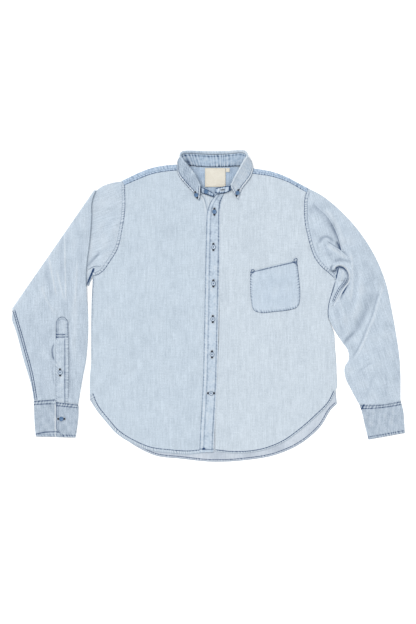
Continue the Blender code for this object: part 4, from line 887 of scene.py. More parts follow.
def lifted(plan, height):
    """A grid of plan points with the height that a function of x and y gives each."""
    return np.dstack([plan, np.broadcast_to(height(plan[..., 0], plan[..., 1]), plan.shape[:2])])


def level(height):
    """The height function of a flat layer."""
    return lambda x, y: height


def height_of(surface, more=0.0):
    """The height function of a surface function that also gives wear, and some more height."""
    return lambda x, y: surface(x, y)[0] + more


def mark(distance, width=1.1):
    """A line's darkness at a distance from it: exp(-(distance / width) squared)."""
    return np.exp(-(distance / width) ** 2)


def puckers(along, across, period, seed):
    """Uneven waves along a seam, from -1 to 1, slanting a little across it."""
    draw = np.random.default_rng(seed)
    drift = sum(size * np.sin(along / length + draw.uniform(0, 6))
                for size, length in ((1.6, 9.1), (1.2, 4.3), (1.9, 23.0)))
    wave = np.sin(2 * np.pi * along / period + drift + 0.35 * across)
    return wave * (0.65 + 0.35 * np.sin(along / 13.7 + draw.uniform(0, 6)))


def flattened_tube(plan, low, high, ring):
    """Rings of a flattened tube over a grid of plan points, one ring for each row.

    A ring runs along the row at height low, round a half circle at the row's last point,
    back at height high, and round a half circle at its first point. Where the row meets an
    edge at a slant, the half circle is stretched so that its width across the edge stays.
    """
    tangents = unit(np.gradient(plan, axis=0))
    inset = max(2, plan.shape[1] // 10)
    for end, near in ((0, inset), (-1, -1 - inset)):
        across = plan[0, near] - plan[0, end]
        tangents[0, end] = unit(np.array([-across[1], across[0]]))

    def way_in(end, near):
        inward, tangent = unit(plan[:, near] - plan[:, end]), tangents[:, end]
        slant = np.abs(inward[:, 0] * tangent[:, 1] - inward[:, 1] * tangent[:, 0])
        return inward, FOLD_RADIUS / np.maximum(slant, MOST_SLANT)

    first_in, first_reach = way_in(0, inset)
    last_in, last_reach = way_in(-1, -1 - inset)

    def layer(count):
        rows = []
        for line, start, end in zip(plan, first_reach, last_reach):
            length = run_lengths(line)
            wanted = start + np.linspace(0.0, 1.0, count) * (length[-1] - end - start)
            rows.append(points_at(wanted, length, line))
        return np.array(rows)

    def turn(end, inward, reached, angles):
        out = below[:, end, None, :2] - (inward * reached[:, None])[:, None] * np.cos(angles)[:, None]
        middle = (below[:, end, 2] + above[:, end, 2]) / 2
        half = (above[:, end, 2] - below[:, end, 2]) / 2
        return np.dstack([out, middle[:, None] + half[:, None] * np.sin(angles)])

    below, above = lifted(layer(ring[0]), low), lifted(layer(ring[1]), high)
    angles = np.radians(np.linspace(-90, 90, 9))[1:-1]
    return np.concatenate([below, turn(-1, last_in, last_reach, angles), above[:, ::-1],
                           turn(0, first_in, first_reach, angles[::-1])], axis=1)


# --- the garment's pieces: each gives its points and its wear, and its grain where it has one ---
ARM_STEPS = 9              # steps along an armhole from the armpit to the front yoke seam
BACK_SEAM_STEP = 7         # step of the armhole at which the back yoke seam ends
SHOULDER_STEPS = 6         # columns along one shoulder,
NECK_STEPS = 5             # along one front neckline,
NAPE_STEPS = 8             # and along the nape
SIDE_STEPS = 12            # rows along a side seam
BACK_STEPS, BACK_FINE = 20, 6
FINE = 8                   # columns or rows of a panel's mesh for one step of its lines


def steps(count, fine=FINE):
    """Shares from 0 to 1 with the given number of fine steps for each coarse one."""
    return np.linspace(0.0, 1.0, count * fine + 1)


def joined(*lines):
    """One line from several that meet end to end."""
    return np.vstack([lines[0]] + [line[1:] for line in lines[1:]])


def straight(start, end, shares):
    """Points at shares of a straight line."""
    share = shares[:, None]
    return (1 - share) * np.asarray(start, float) + share * np.asarray(end, float)


def armhole(points, tip, inside, fine=FINE):
    """Armhole line from the armpit to the shoulder tip, drawn in to the side of a point inside.

    Its last step lies on the yoke.
    """
    return drawn_in(joined(smooth_line(points, steps(ARM_STEPS, fine)),
                           straight(points[-1], tip, steps(1, fine))), inside)


def back_grid():
    """The back below the yoke, flat on the surface."""
    cut = BACK_SEAM_STEP * FINE + 1
    right = joined(smooth_line(SIDE_RIGHT, steps(SIDE_STEPS)),
                   armhole(ARMHOLE_RIGHT, SHOULDER_TIP_RIGHT, BODY_POINT)[:cut])
    left = joined(smooth_line(SIDE_LEFT, steps(SIDE_STEPS)),
                  armhole(ARMHOLE_LEFT, SHOULDER_TIP_LEFT, BODY_POINT)[:cut])
    across = steps(BACK_STEPS, BACK_FINE)
    plan = patch(smooth_line(BACK_HEM, across), straight(right[-1], left[-1], across), right, left)
    plan[-1, :, 1] -= SEAM_HALF
    return lifted(plan, level(LOW)), 0.10 * waves(plan[..., 0], plan[..., 1], 60, 41)


def yoke_rows():
    """The yoke's middle points: a lower layer, a half turn at each shoulder, a front strip."""
    right_arm = armhole(ARMHOLE_RIGHT, SHOULDER_TIP_RIGHT, YOKE_POINT)
    left_arm = armhole(ARMHOLE_LEFT, SHOULDER_TIP_LEFT, YOKE_POINT)
    cut, top_cut = BACK_SEAM_STEP * FINE, ARM_STEPS * FINE
    shoulder = steps(SHOULDER_STEPS)
    folds = [smooth_line(line, shoulder) for line in (FOLD_LINE_RIGHT, FOLD_LINE_LEFT)]
    seams = [smooth_line(line, shoulder) for line in (FRONT_YOKE_RIGHT, FRONT_YOKE_LEFT)]
    folds[0][0], folds[1][-1] = right_arm[-1], left_arm[-1]
    seams[0][0], seams[1][-1] = right_arm[top_cut], left_arm[top_cut]
    top = joined(folds[0], smooth_line(NAPE, steps(NAPE_STEPS)), folds[1])
    columns, count = len(top), len(shoulder)
    seam = straight(right_arm[cut], left_arm[cut], np.linspace(0, 1, columns))
    lower = patch(seam, top, right_arm[cut:], left_arm[cut:])
    lower[0, :, 1] += SEAM_HALF
    on_shoulder = np.r_[0:count, columns - count:columns]
    crease, front = np.vstack(folds), np.vstack(seams)
    outward = unit(crease - front)
    front = front + outward * SEAM_HALF
    crease = crease - outward * FOLD_RADIUS
    rows = list(lifted(lower, level(LOW)))
    rows[-1][on_shoulder, :2] = crease
    upper = [(crease + outward * FOLD_RADIUS * np.sin(turn), (LOW + UP) / 2 - FOLD_RADIUS * np.cos(turn))
             for turn in np.radians(np.linspace(0, 180, 8)[1:-1])]
    upper += [((1 - share) * crease + share * front, UP) for share in np.linspace(0.0, 1.0, 7)]
    for place, height in upper:
        row = rows[len(lower) - 1].copy()
        row[on_shoulder, :2] = place
        row[on_shoulder, 2] = height
        rows.append(row)
    keep = np.ones((len(rows) - 1, columns - 1), dtype=bool)
    keep[len(lower) - 1:, count - 1:columns - count] = False
    return np.array(rows), keep


def yoke_grid():
    """The yoke, with painted shade inside the neck, puckered on top, with a mask of its quads."""
    points, keep = yoke_rows()
    x, y = points[..., 0], points[..., 1]
    inside_neck = mark((x - NECK_X) / 78) * ease((y - 262) / 10)
    on_top = points[..., 2] > UP - 0.5
    # painted shade inside the neck, deeper towards the left
    wear_and_shading = (0.12 * waves(x, y, 24, 42) + on_top * (0.35 * puckers(x + 0.4 * y, 0, 7.0, 44) - 0.04)
            - (0.03 + 0.06 * ease((x - 30) / 30)) * inside_neck * ~on_top)
    return points, wear_and_shading, None, keep


def front_grid(arm, tip, side, hem, centre, yoke_seam, neckline):
    """A front, from its hem to the front yoke seam and the neckline.

    The lines run from the side to the centre, and from the hem up. Its wear is soft clouds,
    puckers that run out from the armhole seams, and the edge of the layer under the placket.
    """
    arm_line = armhole(arm, tip, BODY_POINT)[:ARM_STEPS * FINE + 1]
    outer = joined(smooth_line([hem[0]] + side[1:], steps(SIDE_STEPS)), arm_line)
    top = joined(smooth_line(yoke_seam, steps(SHOULDER_STEPS)),
                 smooth_line(neckline, steps(NECK_STEPS)))
    top[0] = outer[-1]
    top[:SHOULDER_STEPS * FINE + 1, 1] -= SEAM_HALF
    inner, low = smooth_line(centre, len(outer) - 1), smooth_line(hem, len(top) - 1)
    top[-1], low[0], low[-1] = inner[-1], outer[0], inner[0]
    outer[-1] = top[0]
    plan = patch(low, top, outer, inner)
    x, y = plan[..., 0], plan[..., 1]
    wear_and_shading = 0.025 * waves(x, y, 70, 43)
    for line, seed in ((ARMHOLE_RIGHT, 44), (ARMHOLE_LEFT, 45)):
        offset, share = line_offsets(x, y, line)
        wear_and_shading = wear_and_shading + 0.10 * mark(offset, 14.0) * puckers(share * ARMHOLE_LENGTH, offset, 13, seed)
    offset, share = line_offsets(x, y, UNDER_LAP)
    shown = ease((y - 226) / 10) * ease((288 - y) / 10)
    wear_and_shading = wear_and_shading + shown * (0.5 * mark(offset + 3, 1.5) - 0.6 * mark(offset, 1.2)
                           + 0.25 * mark(offset - 8, 3.0))
    return lifted(plan, front_height), wear_and_shading


def placket_grid():
    """The strip with the buttonholes, on both fronts' edges: wavy, with two sewn channels."""
    free, sewn = smooth_line(PLACKET_FREE, PLACKET_ROWS), smooth_line(PLACKET_SEWN, PLACKET_ROWS)
    points = lifted(ruled(free, sewn, PLACKET_COLUMNS),
                    lambda x, y: front_height(x, y) + (CLOTH_ROOM + DOUBLED_ROOM) / 2 + GAP)
    x, y = points[..., 0], points[..., 1]
    width = np.linalg.norm(sewn - free, axis=1)[:, None]
    across = np.linspace(0.0, 1.0, PLACKET_COLUMNS)[None] * width
    along = np.linspace(0, PLACKET_LENGTH, PLACKET_ROWS + 1)[:, None]
    first = across - FREE_CHANNEL
    second = across - (width - SEWN_CHANNEL + 4.0 * ease((y - 255) / 30))
    uneven = 1 + 0.15 * puckers(along, 0, 15, 56)
    edge = puckers(along, across, 7.5, 51) * mark(across - 4, 5)
    far = puckers(along, across, 7.0, 52) * mark(width - across - 2, 4)
    inner = puckers(along, across, 8.0, 53) * (mark(first - 3, 5) + mark(second + 3, 5))
    lift = (0.15 * edge + 0.15 * far + 0.12 * inner - 0.35 * mark(first, 1.3)
            - 0.4 * mark(second, 1.3) - 1.9 * ease((across - width + 6) / 6)
            - 0.8 * ease((3 - across) / 3))
    # the two sewn lines, and a dark line along the free edge that is partly painted shade
    sewn_lines_and_edge_shade = 0.55 * mark(first, 1.0) + 0.84 * mark(second, 1.0) + 0.65 * mark(across - 1.0, 1.0)
    hem = 1.5 * mark(np.hypot((x + 11) / 2.2, y + 357.5), 2.0) + 0.75 * mark(along - 7.5, 1.3)
    wear_and_shading = (0.16 * edge + 0.16 * far + 0.12 * inner - uneven * ease((along - 7) / 3) * sewn_lines_and_edge_shade - hem
            - 0.10 * ease((y - 236) / 20) - 0.08 * ease((y + 80) / 260)
            # the second term here is painted light along the sewn edge that hides the shadow of the
            # strip's step
            + 0.35 * mark(across - 5.6, 1.7) + 0.45 * ease((across - width + 2.2) / 1.2)
            + 0.08 * ease((across - 12) / 4) + 0.12 * waves(x, y, 24, 54) + 0.10 * waves(x, y, 9, 55))
    return raised(points, lift), wear_and_shading


def pocket_grid():
    """The patch pocket on the left front: puckers round its seam, a tack at each top corner."""
    plan = patch(*(smooth_line(line, POCKET_STEPS) for line in (
        POCKET_BOTTOM, POCKET_TOP, POCKET_LEFT_SIDE, POCKET_RIGHT_SIDE)))
    points = lifted(plan, lambda x, y: front_height(x, y) + CLOTH_ROOM + GAP)
    x, y = plan[..., 0], plan[..., 1]
    u, v = np.meshgrid(steps(POCKET_STEPS, 1), steps(POCKET_STEPS, 1))
    left, right, bottom, top = (share * size for share, size in (
        (u, POCKET_WIDTH), (1 - u, POCKET_WIDTH), (v, POCKET_DEPTH), (1 - v, POCKET_DEPTH)))
    rim = np.minimum(np.minimum(left, right), bottom)
    along = np.where(bottom < np.minimum(left, right), x, y)
    ticks = puckers(along, rim, 7.0, 61) * mark(rim - 2, 6)
    top_ticks = puckers(x, top, 8.0, 62) * mark(top - 4, 5)
    tacks = sum(mark(0.8 * side + 0.7 * top - 8.5, 1.3)
                - 0.5 * mark(np.hypot(side - 3.5, top - 4), 1.6) for side in (left, right))
    lift = (0.35 * ticks + 0.2 * top_ticks - 0.4 * mark(rim - 3.0, 1.2) - 0.8 * ease((2 - rim) / 2)
            + 0.5 * waves(x, y, 60, 63) * ease(rim / 20) * ease(top / 20))
    wear_and_shading = (0.34 * ticks + 0.14 * top_ticks - 0.76 * mark(rim - 0.9, 1.2)
            - 0.20 * mark(rim - 4.2, 1.0) - 0.95 * mark(top - 2.9, 1.15) - 0.8 * tacks
            + 0.05 * waves(x, y, 40, 64))
    return raised(points, lift), wear_and_shading


def sleeve_plan(start, end, under, top, ring_steps, fine_rows, crowded=0.0):
    """Plan of a sleeve between its first and last ring's lines and its two edges.

    A coarse plan is spread evenly and then carried over to the fine one, whose four edges
    are moved to the fine lines. crowded is the share by which its first rows lie closer
    than even ones.
    """
    tip = start(1)[-1]

    def edges(fine, shares):
        first, low, high = start(fine), smooth_line(under, shares), smooth_line(top, shares)
        last = end(fine) if end else straight(low[-1], high[-1], steps(ARM_STEPS + 1, fine))
        first[0], first[-1], high[0] = low[0], tip, tip
        return first, last, low, high

    coarse = relaxed(patch(*edges(1, ring_steps)))
    shares = steps(ring_steps, fine_rows)
    shares = (1 - crowded) * shares + crowded * shares ** 2
    first, last, low, high = edges(FINE, shares)
    grid = resampled(coarse, steps(len(shares) - 1, 1), steps(len(first) - 1, 1))
    return grid + patch(first - grid[0], last - grid[-1], low - grid[:, 0], high - grid[:, -1])


def left_sleeve_grid():
    """The left sleeve: a flattened tube from the armhole to the cuff, front up."""
    def start(fine):
        return armhole(ARMHOLE_LEFT, SHOULDER_TIP_LEFT, (400, 100), fine)

    plan = sleeve_plan(start, None, LEFT_UNDER_EDGE, LEFT_TOP_EDGE, 21, 11, 0.5)
    points = flattened_tube(plan, level(LOW), height_of(left_sleeve_surface), LEFT_RING)
    x, y = points[..., 0], points[..., 1]
    upper = ease(points[..., 2] - UPPER_START)
    cos, sin = np.cos(LEFT_GRAIN_TURN), np.sin(LEFT_GRAIN_TURN)
    grain = np.dstack([x * cos + y * sin, y * cos - x * sin])
    return points, left_sleeve_surface(x, y)[1] * upper + 0.06 * waves(x, y, 45, 71), grain


def right_sleeve_grid():
    """The right sleeve: a flattened tube that is folded over along the slanting axis.

    The part below runs from the armhole to the axis. The half turn carries each point, at
    height h, round the axis with radius (axis height - h). The turned part runs on to the
    cuff, with the tube's lower layer on top. Its grain is that of the sleeve laid straight.
    """
    def start(fine):
        return armhole(ARMHOLE_RIGHT, SHOULDER_TIP_RIGHT, (-400, 100), fine)

    def axis(fine):
        return straight(FOLD_AXIS_LOW, FOLD_AXIS_TOP, steps(ARM_STEPS + 1, fine))

    plan = sleeve_plan(start, axis, BASE_UNDER_EDGE, BASE_TOP_EDGE, 7, 6)
    base = flattened_tube(plan, level(LOW), height_of(base_surface), RIGHT_RING)
    plan = sleeve_plan(axis, None, TURNED_UNDER_EDGE, TURNED_TOP_EDGE, 15, 9)
    turned = flattened_tube(plan, height_of(turned_surface), lambda x, y: LOW + turned_lift(x, y),
                            RIGHT_RING)
    run = unit(np.array(FOLD_AXIS_TOP) - np.array(FOLD_AXIS_LOW))
    outward = np.array([-run[1], run[0]])
    radius = FOLD_AXIS_HEIGHT - base[-1, :, 2]
    arcs = []
    for turn in np.radians(np.linspace(0, 180, 10)[1:]):
        ring = base[-1].copy()
        ring[:, :2] += outward * (radius * np.sin(turn))[:, None]
        ring[:, 2] = FOLD_AXIS_HEIGHT - radius * np.cos(turn)
        arcs.append(ring)
    points = np.concatenate([base, np.array(arcs), turned[1:]])
    past = (points[..., :2] - np.array(FOLD_AXIS_LOW)) @ outward
    is_turned = (np.arange(len(points)) > len(base) + len(arcs) // 2)[:, None]
    straightened = points[..., :2] - np.where(is_turned, 2 * past, 0.0)[..., None] * outward
    along = np.array(SLEEVE_RUN)
    grain = np.dstack([straightened @ np.array([-along[1], along[0]]), straightened @ along])
    x, y = points[..., 0], points[..., 1]
    wear_and_shading = np.where(is_turned, turned_surface(x, y)[1], base_surface(x, y)[1])
    upper = ease(points[..., 2] - UPPER_START)
    return points, wear_and_shading * upper + 0.07 * waves(x * 2.0, y, 60, 72), grain


def cuff_wear(across, along, length, first, second, seed):
    """Wear and lift of a laid cuff: two sewn lines near the sleeve and one near the wrist.

    along runs from the sleeve's end to the wrist, and across from one edge to the other.
    first and second are the two lines' distances from the sleeve's end.
    """
    low = length - along
    uneven = 1 + 0.25 * puckers(across, 0, 12.0, seed + 2)
    top_waves = puckers(across, along, 7.0, seed) * mark(along - 5, 6)
    low_waves = puckers(across, low, 6.5, seed + 1) * mark(low - 3, 5)
    lift = (0.35 * top_waves + 0.35 * low_waves - 0.35 * mark(along - first, 1.2)
            - 0.35 * mark(along - second, 1.3) - 0.4 * mark(low - 5.0, 1.3))
    sewn = mark(along - first, 1.2) + mark(along - second, 1.2) + 0.8 * mark(low - 5.0, 1.2)
    return 0.45 * top_waves + 0.5 * low_waves - 0.45 * mark(low, 1.2) - uneven * sewn, lift


def over_sleeve_end(points, along, rise, upper_shift):
    """A cuff whose upper layers reach over the sleeve's end and whose lower layer clears it.

    Layers above the lowest move by the shift, fading as exp(-along / 30), and rise by
    exp(-(along / 7) squared). The lowest draws back by 9 mm, fading as exp(-along / 12).
    """
    upper = ease((points[..., 2] - CUFF_LOW) / (2 * FOLD_RADIUS))
    shift = upper * upper_shift * np.exp(-along / 30) - (1 - upper) * 9.0 * np.exp(-along / 12)
    return points + np.dstack([0 * shift, shift, upper * rise * mark(along, 7)])


def cuff_plan(edges, rows, columns):
    """Plan of a laid cuff: rows from the sleeve to the wrist, columns from edge to edge."""
    return ruled(smooth_line(edges["under"], rows), smooth_line(edges["top"], rows), columns)


def left_cuff_grid():
    """The left cuff: a flattened ring of doubled denim; its ends lap on the side that rests."""
    points = flattened_tube(cuff_plan(CUFF_LEFT_EDGES, 58, 65), level(CUFF_LOW),
                            level(CUFF_LOW + 2 * FOLD_RADIUS), (33, 65))
    x, y = points[..., 0], points[..., 1]
    along = np.linspace(0, CUFF_LEFT_DEPTH, len(points))[:, None] + 0 * x
    wear_and_shading, lift = cuff_wear(x, along, CUFF_LEFT_DEPTH, 3.6, 9.8, 81)
    puff = 0.5 * waves(x, y, 50, 83) * (points[..., 2] > CUFF_LOW + 1.3)
    wear_and_shading = wear_and_shading + 0.10 * waves(x, y, 20, 82) - 0.02
    wear_and_shading = wear_and_shading - 0.8 * mark((x - 386) * 0.8 + (along - 6) * 0.5, 1.3) * (along < 14)
    share = np.clip((x - CUFF_LEFT_EDGES["under"][0][0]) / 100.5, 0, 1)
    points = over_sleeve_end(points, along, 1.5, -16.0 * share * (1 - share))
    return raised(points, lift + np.maximum(puff, -0.2), closed=True), wear_and_shading


def right_cuff_grid():
    """The right cuff: a strip round the wrist whose end laps over its other end, up.

    Its path across runs from the hidden end, to the under edge, along the surface, round
    the top edge and back to the end that shows, which is sewn down with a cut corner.
    """
    small = FOLD_RADIUS
    lower_top = CUFF_LOW + 2 * small
    upper_top = lower_top + DOUBLED_ROOM + GAP
    large = (upper_top - CUFF_LOW) / 2
    bends = np.radians(np.linspace(90, -90, 9))[1:-1]
    rings = []
    for row in cuff_plan(CUFF_RIGHT_EDGES, 60, 11):
        start, end = row[0], row[-1]
        width = np.linalg.norm(end - start)
        inward = (end - start) / width
        lap = (CUFF_LAP_EDGE - start[0]) / inward[0]
        cut_corner = 0.78 * max(0.0, -306 - start[1])
        reach = np.concatenate([
            np.linspace(lap + CUFF_LAP, small, CUFF_UNDER), small - small * np.cos(bends),
            np.linspace(small, width - large, CUFF_GROUND), width - large + large * np.cos(bends),
            np.linspace(width - large, lap + cut_corner, CUFF_OVER)])
        height = np.concatenate([
            np.full(CUFF_UNDER, lower_top), CUFF_LOW + small + small * np.sin(bends),
            np.full(CUFF_GROUND, CUFF_LOW), CUFF_LOW + large - large * np.sin(bends),
            np.full(CUFF_OVER, upper_top)])
        rings.append(np.column_stack([start + inward * reach[:, None], height]))
    points = np.array(rings)
    x, y = points[..., 0], points[..., 1]
    along = np.linspace(0, CUFF_RIGHT_DEPTH, len(points))[:, None] + 0 * x
    wear_and_shading, lift = cuff_wear(x, along, CUFF_RIGHT_DEPTH, 1.8, 9.5, 86)
    from_lap = np.full(x.shape, 99.0)
    from_lap[:, -CUFF_OVER:] = np.linspace(54, 0, CUFF_OVER)
    on_top = points[..., 2] > lower_top - 0.1
    below = on_top * (from_lap > 55)
    second_line = y - np.interp(x, (-431, -407, -380), (-321, -316.5, -315.5))
    wear_and_shading = (wear_and_shading - 0.95 * mark(from_lap - 0.8, 1.0) - 0.4 * mark(from_lap - 6.0, 1.1)
            + 0.10 * waves(x, y, 20, 88) - 0.05
            - below * (mark(second_line, 1.3) - 0.4 * mark(CUFF_RIGHT_DEPTH - along - 5, 1.4))
            + 0.6 * below * mark(CUFF_LAP_EDGE - 2.4 - x, 1.6))
    lift = (lift - 0.3 * mark(from_lap - 4.5, 1.3) + 0.4 * waves(x, y, 44, 89)) * on_top
    on_lap = points[..., 2] > (lower_top + upper_top) / 2
    lower, upper = (np.interp(x, CUFF_RIGHT_SHIFTS[layer][::2], CUFF_RIGHT_SHIFTS[layer][1::2])
                    for layer in ("lower", "upper"))
    points = over_sleeve_end(points, along, 1.7, np.where(on_lap, upper, lower))
    return points + np.array([0, 0, 1.0]) * lift[..., None], wear_and_shading


def sleeve_placket_grid():
    """The pointed strip above the right cuff, on the sleeve, with two rows across its top."""
    left, right, point = (SLEEVE_PLACKET_EDGES[key] for key in ("left", "right", "point"))
    plan = ruled(smooth_line(left, STRIP_ROWS), smooth_line(right, STRIP_ROWS), STRIP_COLUMNS)
    share = np.linspace(0.0, 1.0, STRIP_COLUMNS)
    peak = (point[1] - left[-1][1]) * (1 - np.abs(2 * share - 1) ** 2.4)
    plan[..., 1] += ease((steps(STRIP_ROWS, 1) - 0.72) / 0.28)[:, None] * peak
    points = lifted(plan, height_of(turned_surface, CLOTH_ROOM + GAP + 0.1))
    x, y = plan[..., 0], plan[..., 1]
    across = share[None] * STRIP_WIDTH + 0 * y
    edge = np.minimum(across, STRIP_WIDTH - across)
    rim = np.minimum(edge, (left[-1][1] + peak[None] - y) * 0.85)
    ticks = puckers(y + x * 0.5, rim, 7.0, 91) * mark(rim - 2, 5)
    rows = (mark(y + 72.5, 1.3) + mark(y + 79.0, 1.3)) * ease((24 - across) / 2)
    lift = (0.25 * ticks - 0.35 * mark(rim - 5.5, 1.1) - 0.3 * rows
            - 1.3 * ease((-226 - y) / 8) - 0.5 * ease((1.5 - rim) / 1.5))
    sides = ease((-80 - y) / 6)
    side_row = (0.15 + 0.6 * ease((across - 14) / 3)) * sides * mark(edge - 9.0, 1.2)
    wear_and_shading = (0.32 * ticks - (0.9 - 0.62 * sides) * mark(rim - 0.7, 1.25) - side_row
            - 0.45 * (1 - sides) * mark(rim - 5.0, 1.1) - 1.1 * rows + 0.12 * waves(x, y, 24, 92))
    return raised(points, lift), wear_and_shading


def station_lines(rows, columns, names):
    """A smooth line through the named columns, with even steps between each two stations."""
    stations = np.array(rows, dtype=float)[:, [columns.index(name) for name in names]]
    last = len(stations) - 1
    return cubic_at(stations, np.linspace(0.0, last, last * STATION_STEPS + 1))


def stand_lines():
    """Smooth seam and roll lines of the stand, with steps for each station."""
    return (station_lines(STAND_STATIONS, STAND_COLUMNS, ("seam_x", "seam_y", "seam_z")),
            station_lines(STAND_STATIONS, STAND_COLUMNS, ("roll_x", "roll_y", "roll_z")))


def stand_grid():
    """The collar stand: a band from its seam to the roll line, sewn near both edges."""
    seam, roll = stand_lines()
    share = np.linspace(0.0, 1.0, 25)[:, None, None]
    points = (1 - share) * seam[None] + share * roll[None]
    x, y = points[..., 0], points[..., 1]
    along = run_lengths(roll)[None] + 0 * x
    height = np.linalg.norm(roll - seam, axis=1)[None]
    up = share[..., 0] * height
    ends = np.minimum(along, along[:, -1:] - along)
    on_tab = ease((44 - ends) / 6)
    near_edges = 0.5 + 0.5 * mark(up - 2, 7) + 0.5 * mark(height - up - 3, 6)
    ticks = puckers(along, 0.3 * up, 7.5, 101) * near_edges * (1 - 0.35 * on_tab)
    # painted shade in a hollow inside the stand, on the right
    hollow_shade = 0.8 * mark(x + 53, 7) * mark(y - 356, 6)
    tab_end = 1.1 * mark(ends - 37, 2.2) * ease((300 - y) / 4)
    lines = (0.75 * mark(up - 0.8, 1.3) + 0.65 * mark(height - up - 4.0, 1.3)) * (1 - on_tab)
    rim = np.minimum(np.minimum(up, height - up), ends)
    outline = 1.2 * mark(rim - 0.8, 1.25) * on_tab
    # the left tab painted paler and the right one a little darker, as painted light on their slopes,
    # with a dark sewn line
    plain = on_tab * (np.where(x < 10, -0.05, 0.12) - 0.2 * mark(up - 4.2, 1.0))
    wear_and_shading = (0.65 * ticks - lines - outline - hollow_shade - tab_end + 0.2 * waves(along, up, 12, 102)
            + plain * (1 - np.clip(outline, 0, 1)))
    lift = 0.45 * ticks - 0.25 * mark(up - 2.0, 1.0)
    return raised(points, lift), wear_and_shading, np.dstack([up, along])


def collar_grid():
    """The collar: up from the stand, round a half turn outward, and down to its edge.

    Each station's section is a short rise, a half circle of ROLL_RADIUS, and a cubic Bezier
    curve that leaves it straight back along the stand. Its edge is sewn 6 mm in, and the
    cloth between that line and the edge swells and puckers.
    """
    seam, roll = stand_lines()
    rising = unit(roll - seam)
    outward = unit(np.cross(rising, np.gradient(roll, axis=0)))
    part = slice(FIRST_COLLAR_STATION * STATION_STEPS, LAST_COLLAR_STATION * STATION_STEPS + 1)
    roll, rising, outward = roll[part], rising[part], outward[part]
    edge = station_lines(COLLAR_STATIONS, COLLAR_COLUMNS, ("edge_x", "edge_y", "edge_z"))
    rise = station_lines(COLLAR_STATIONS, COLLAR_COLUMNS, ("rise",))
    start = roll + rising * COLLAR_SEAM
    centre = start + rising * rise + outward * ROLL_RADIUS
    rows = [(1 - t) * start + t * (centre - ROLL_RADIUS * outward) for t in (0.0, 0.35, 0.7)]
    for turn in np.radians(np.linspace(0, 170, 10)):
        rows.append(centre + ROLL_RADIUS * (rising * np.sin(turn) - outward * np.cos(turn)))
    turned = centre + ROLL_RADIUS * outward
    behind = turned - 0.3 * np.linalg.norm(turned - edge, axis=1)[:, None] * rising
    over_edge = edge + 0.25 * (turned - edge)
    for t in 1 - (1 - np.linspace(0.0, 1.0, 52)) ** 1.3:
        rows.append((1 - t) ** 3 * turned + 3 * t * (1 - t) ** 2 * behind
                    + 3 * t * t * (1 - t) * over_edge + t ** 3 * edge)
    points = np.array(rows)
    steps_down = np.linalg.norm(np.diff(points, axis=0), axis=2)
    down = np.vstack([np.zeros(points.shape[1]), np.cumsum(steps_down, axis=0)])
    from_edge = down[-1:] - down
    along = run_lengths(edge)[None] + 0 * down
    to_end = np.minimum(along, along[:, -1:] - along)
    rim = np.minimum(from_edge, to_end)
    on_fall = ease((down - 10) / 6)
    ticks = puckers(np.where(from_edge < to_end, along, down), rim, 6.5, 111)
    ticks = ticks * mark(rim - 2.6, 5) * on_fall
    lines = 0.65 * mark(rim - 3.2, 1.7) - 0.9 * mark(rim - 0.4, 1.1) - 1.25 * mark(rim - 5.8, 1.25)
    # the left leaf painted paler and the right leaf darker: painted light on the leaves' slopes
    wear_and_shading = (0.6 * ticks + lines * on_fall + 0.12 * waves(along, down, 30, 112)
            + 0.18 * waves(along, down, 7, 113) + 0.10 * mark(down - 8, 5)
            + 0.22 * ease((points[..., 0] - 20) / 60) - 0.20 * ease((0 - points[..., 0]) / 40))
    lift = (0.35 * ticks + 0.25 * mark(rim - 2.8, 2.0) - 0.4 * mark(rim - 5.8, 1.3)) * on_fall
    return raised(points, lift), wear_and_shading, np.dstack([along, down])


def label_grid(box, bow):
    """A small flat piece on the inside of the yoke, its middle bowed up a little."""
    x0, y0, x1, y1 = box
    x, y = np.meshgrid(np.linspace(x0, x1, 37), np.linspace(y0, y1, 33))
    u, v = (x - x0) / (x1 - x0), (y - y0) / (y1 - y0)
    height = (CLOTH_ROOM + GAP + 0.5 + bow * (4 * u * (1 - u)) * (4 * v * (1 - v))
              + 0.15 * waves(x, y, 18, 121))
    rim = np.minimum(np.minimum(x - x0, x1 - x), np.minimum(y - y0, y1 - y))
    return np.dstack([x, y, height]), -0.35 * mark(rim - 1.8, 0.5)


# --- raised seams ---
SEAM_STEP, SEAM_COLUMNS = 1.3, 17
SEAM_MARGIN = 1.6          # where a raised seam dives into the cloth on both sides


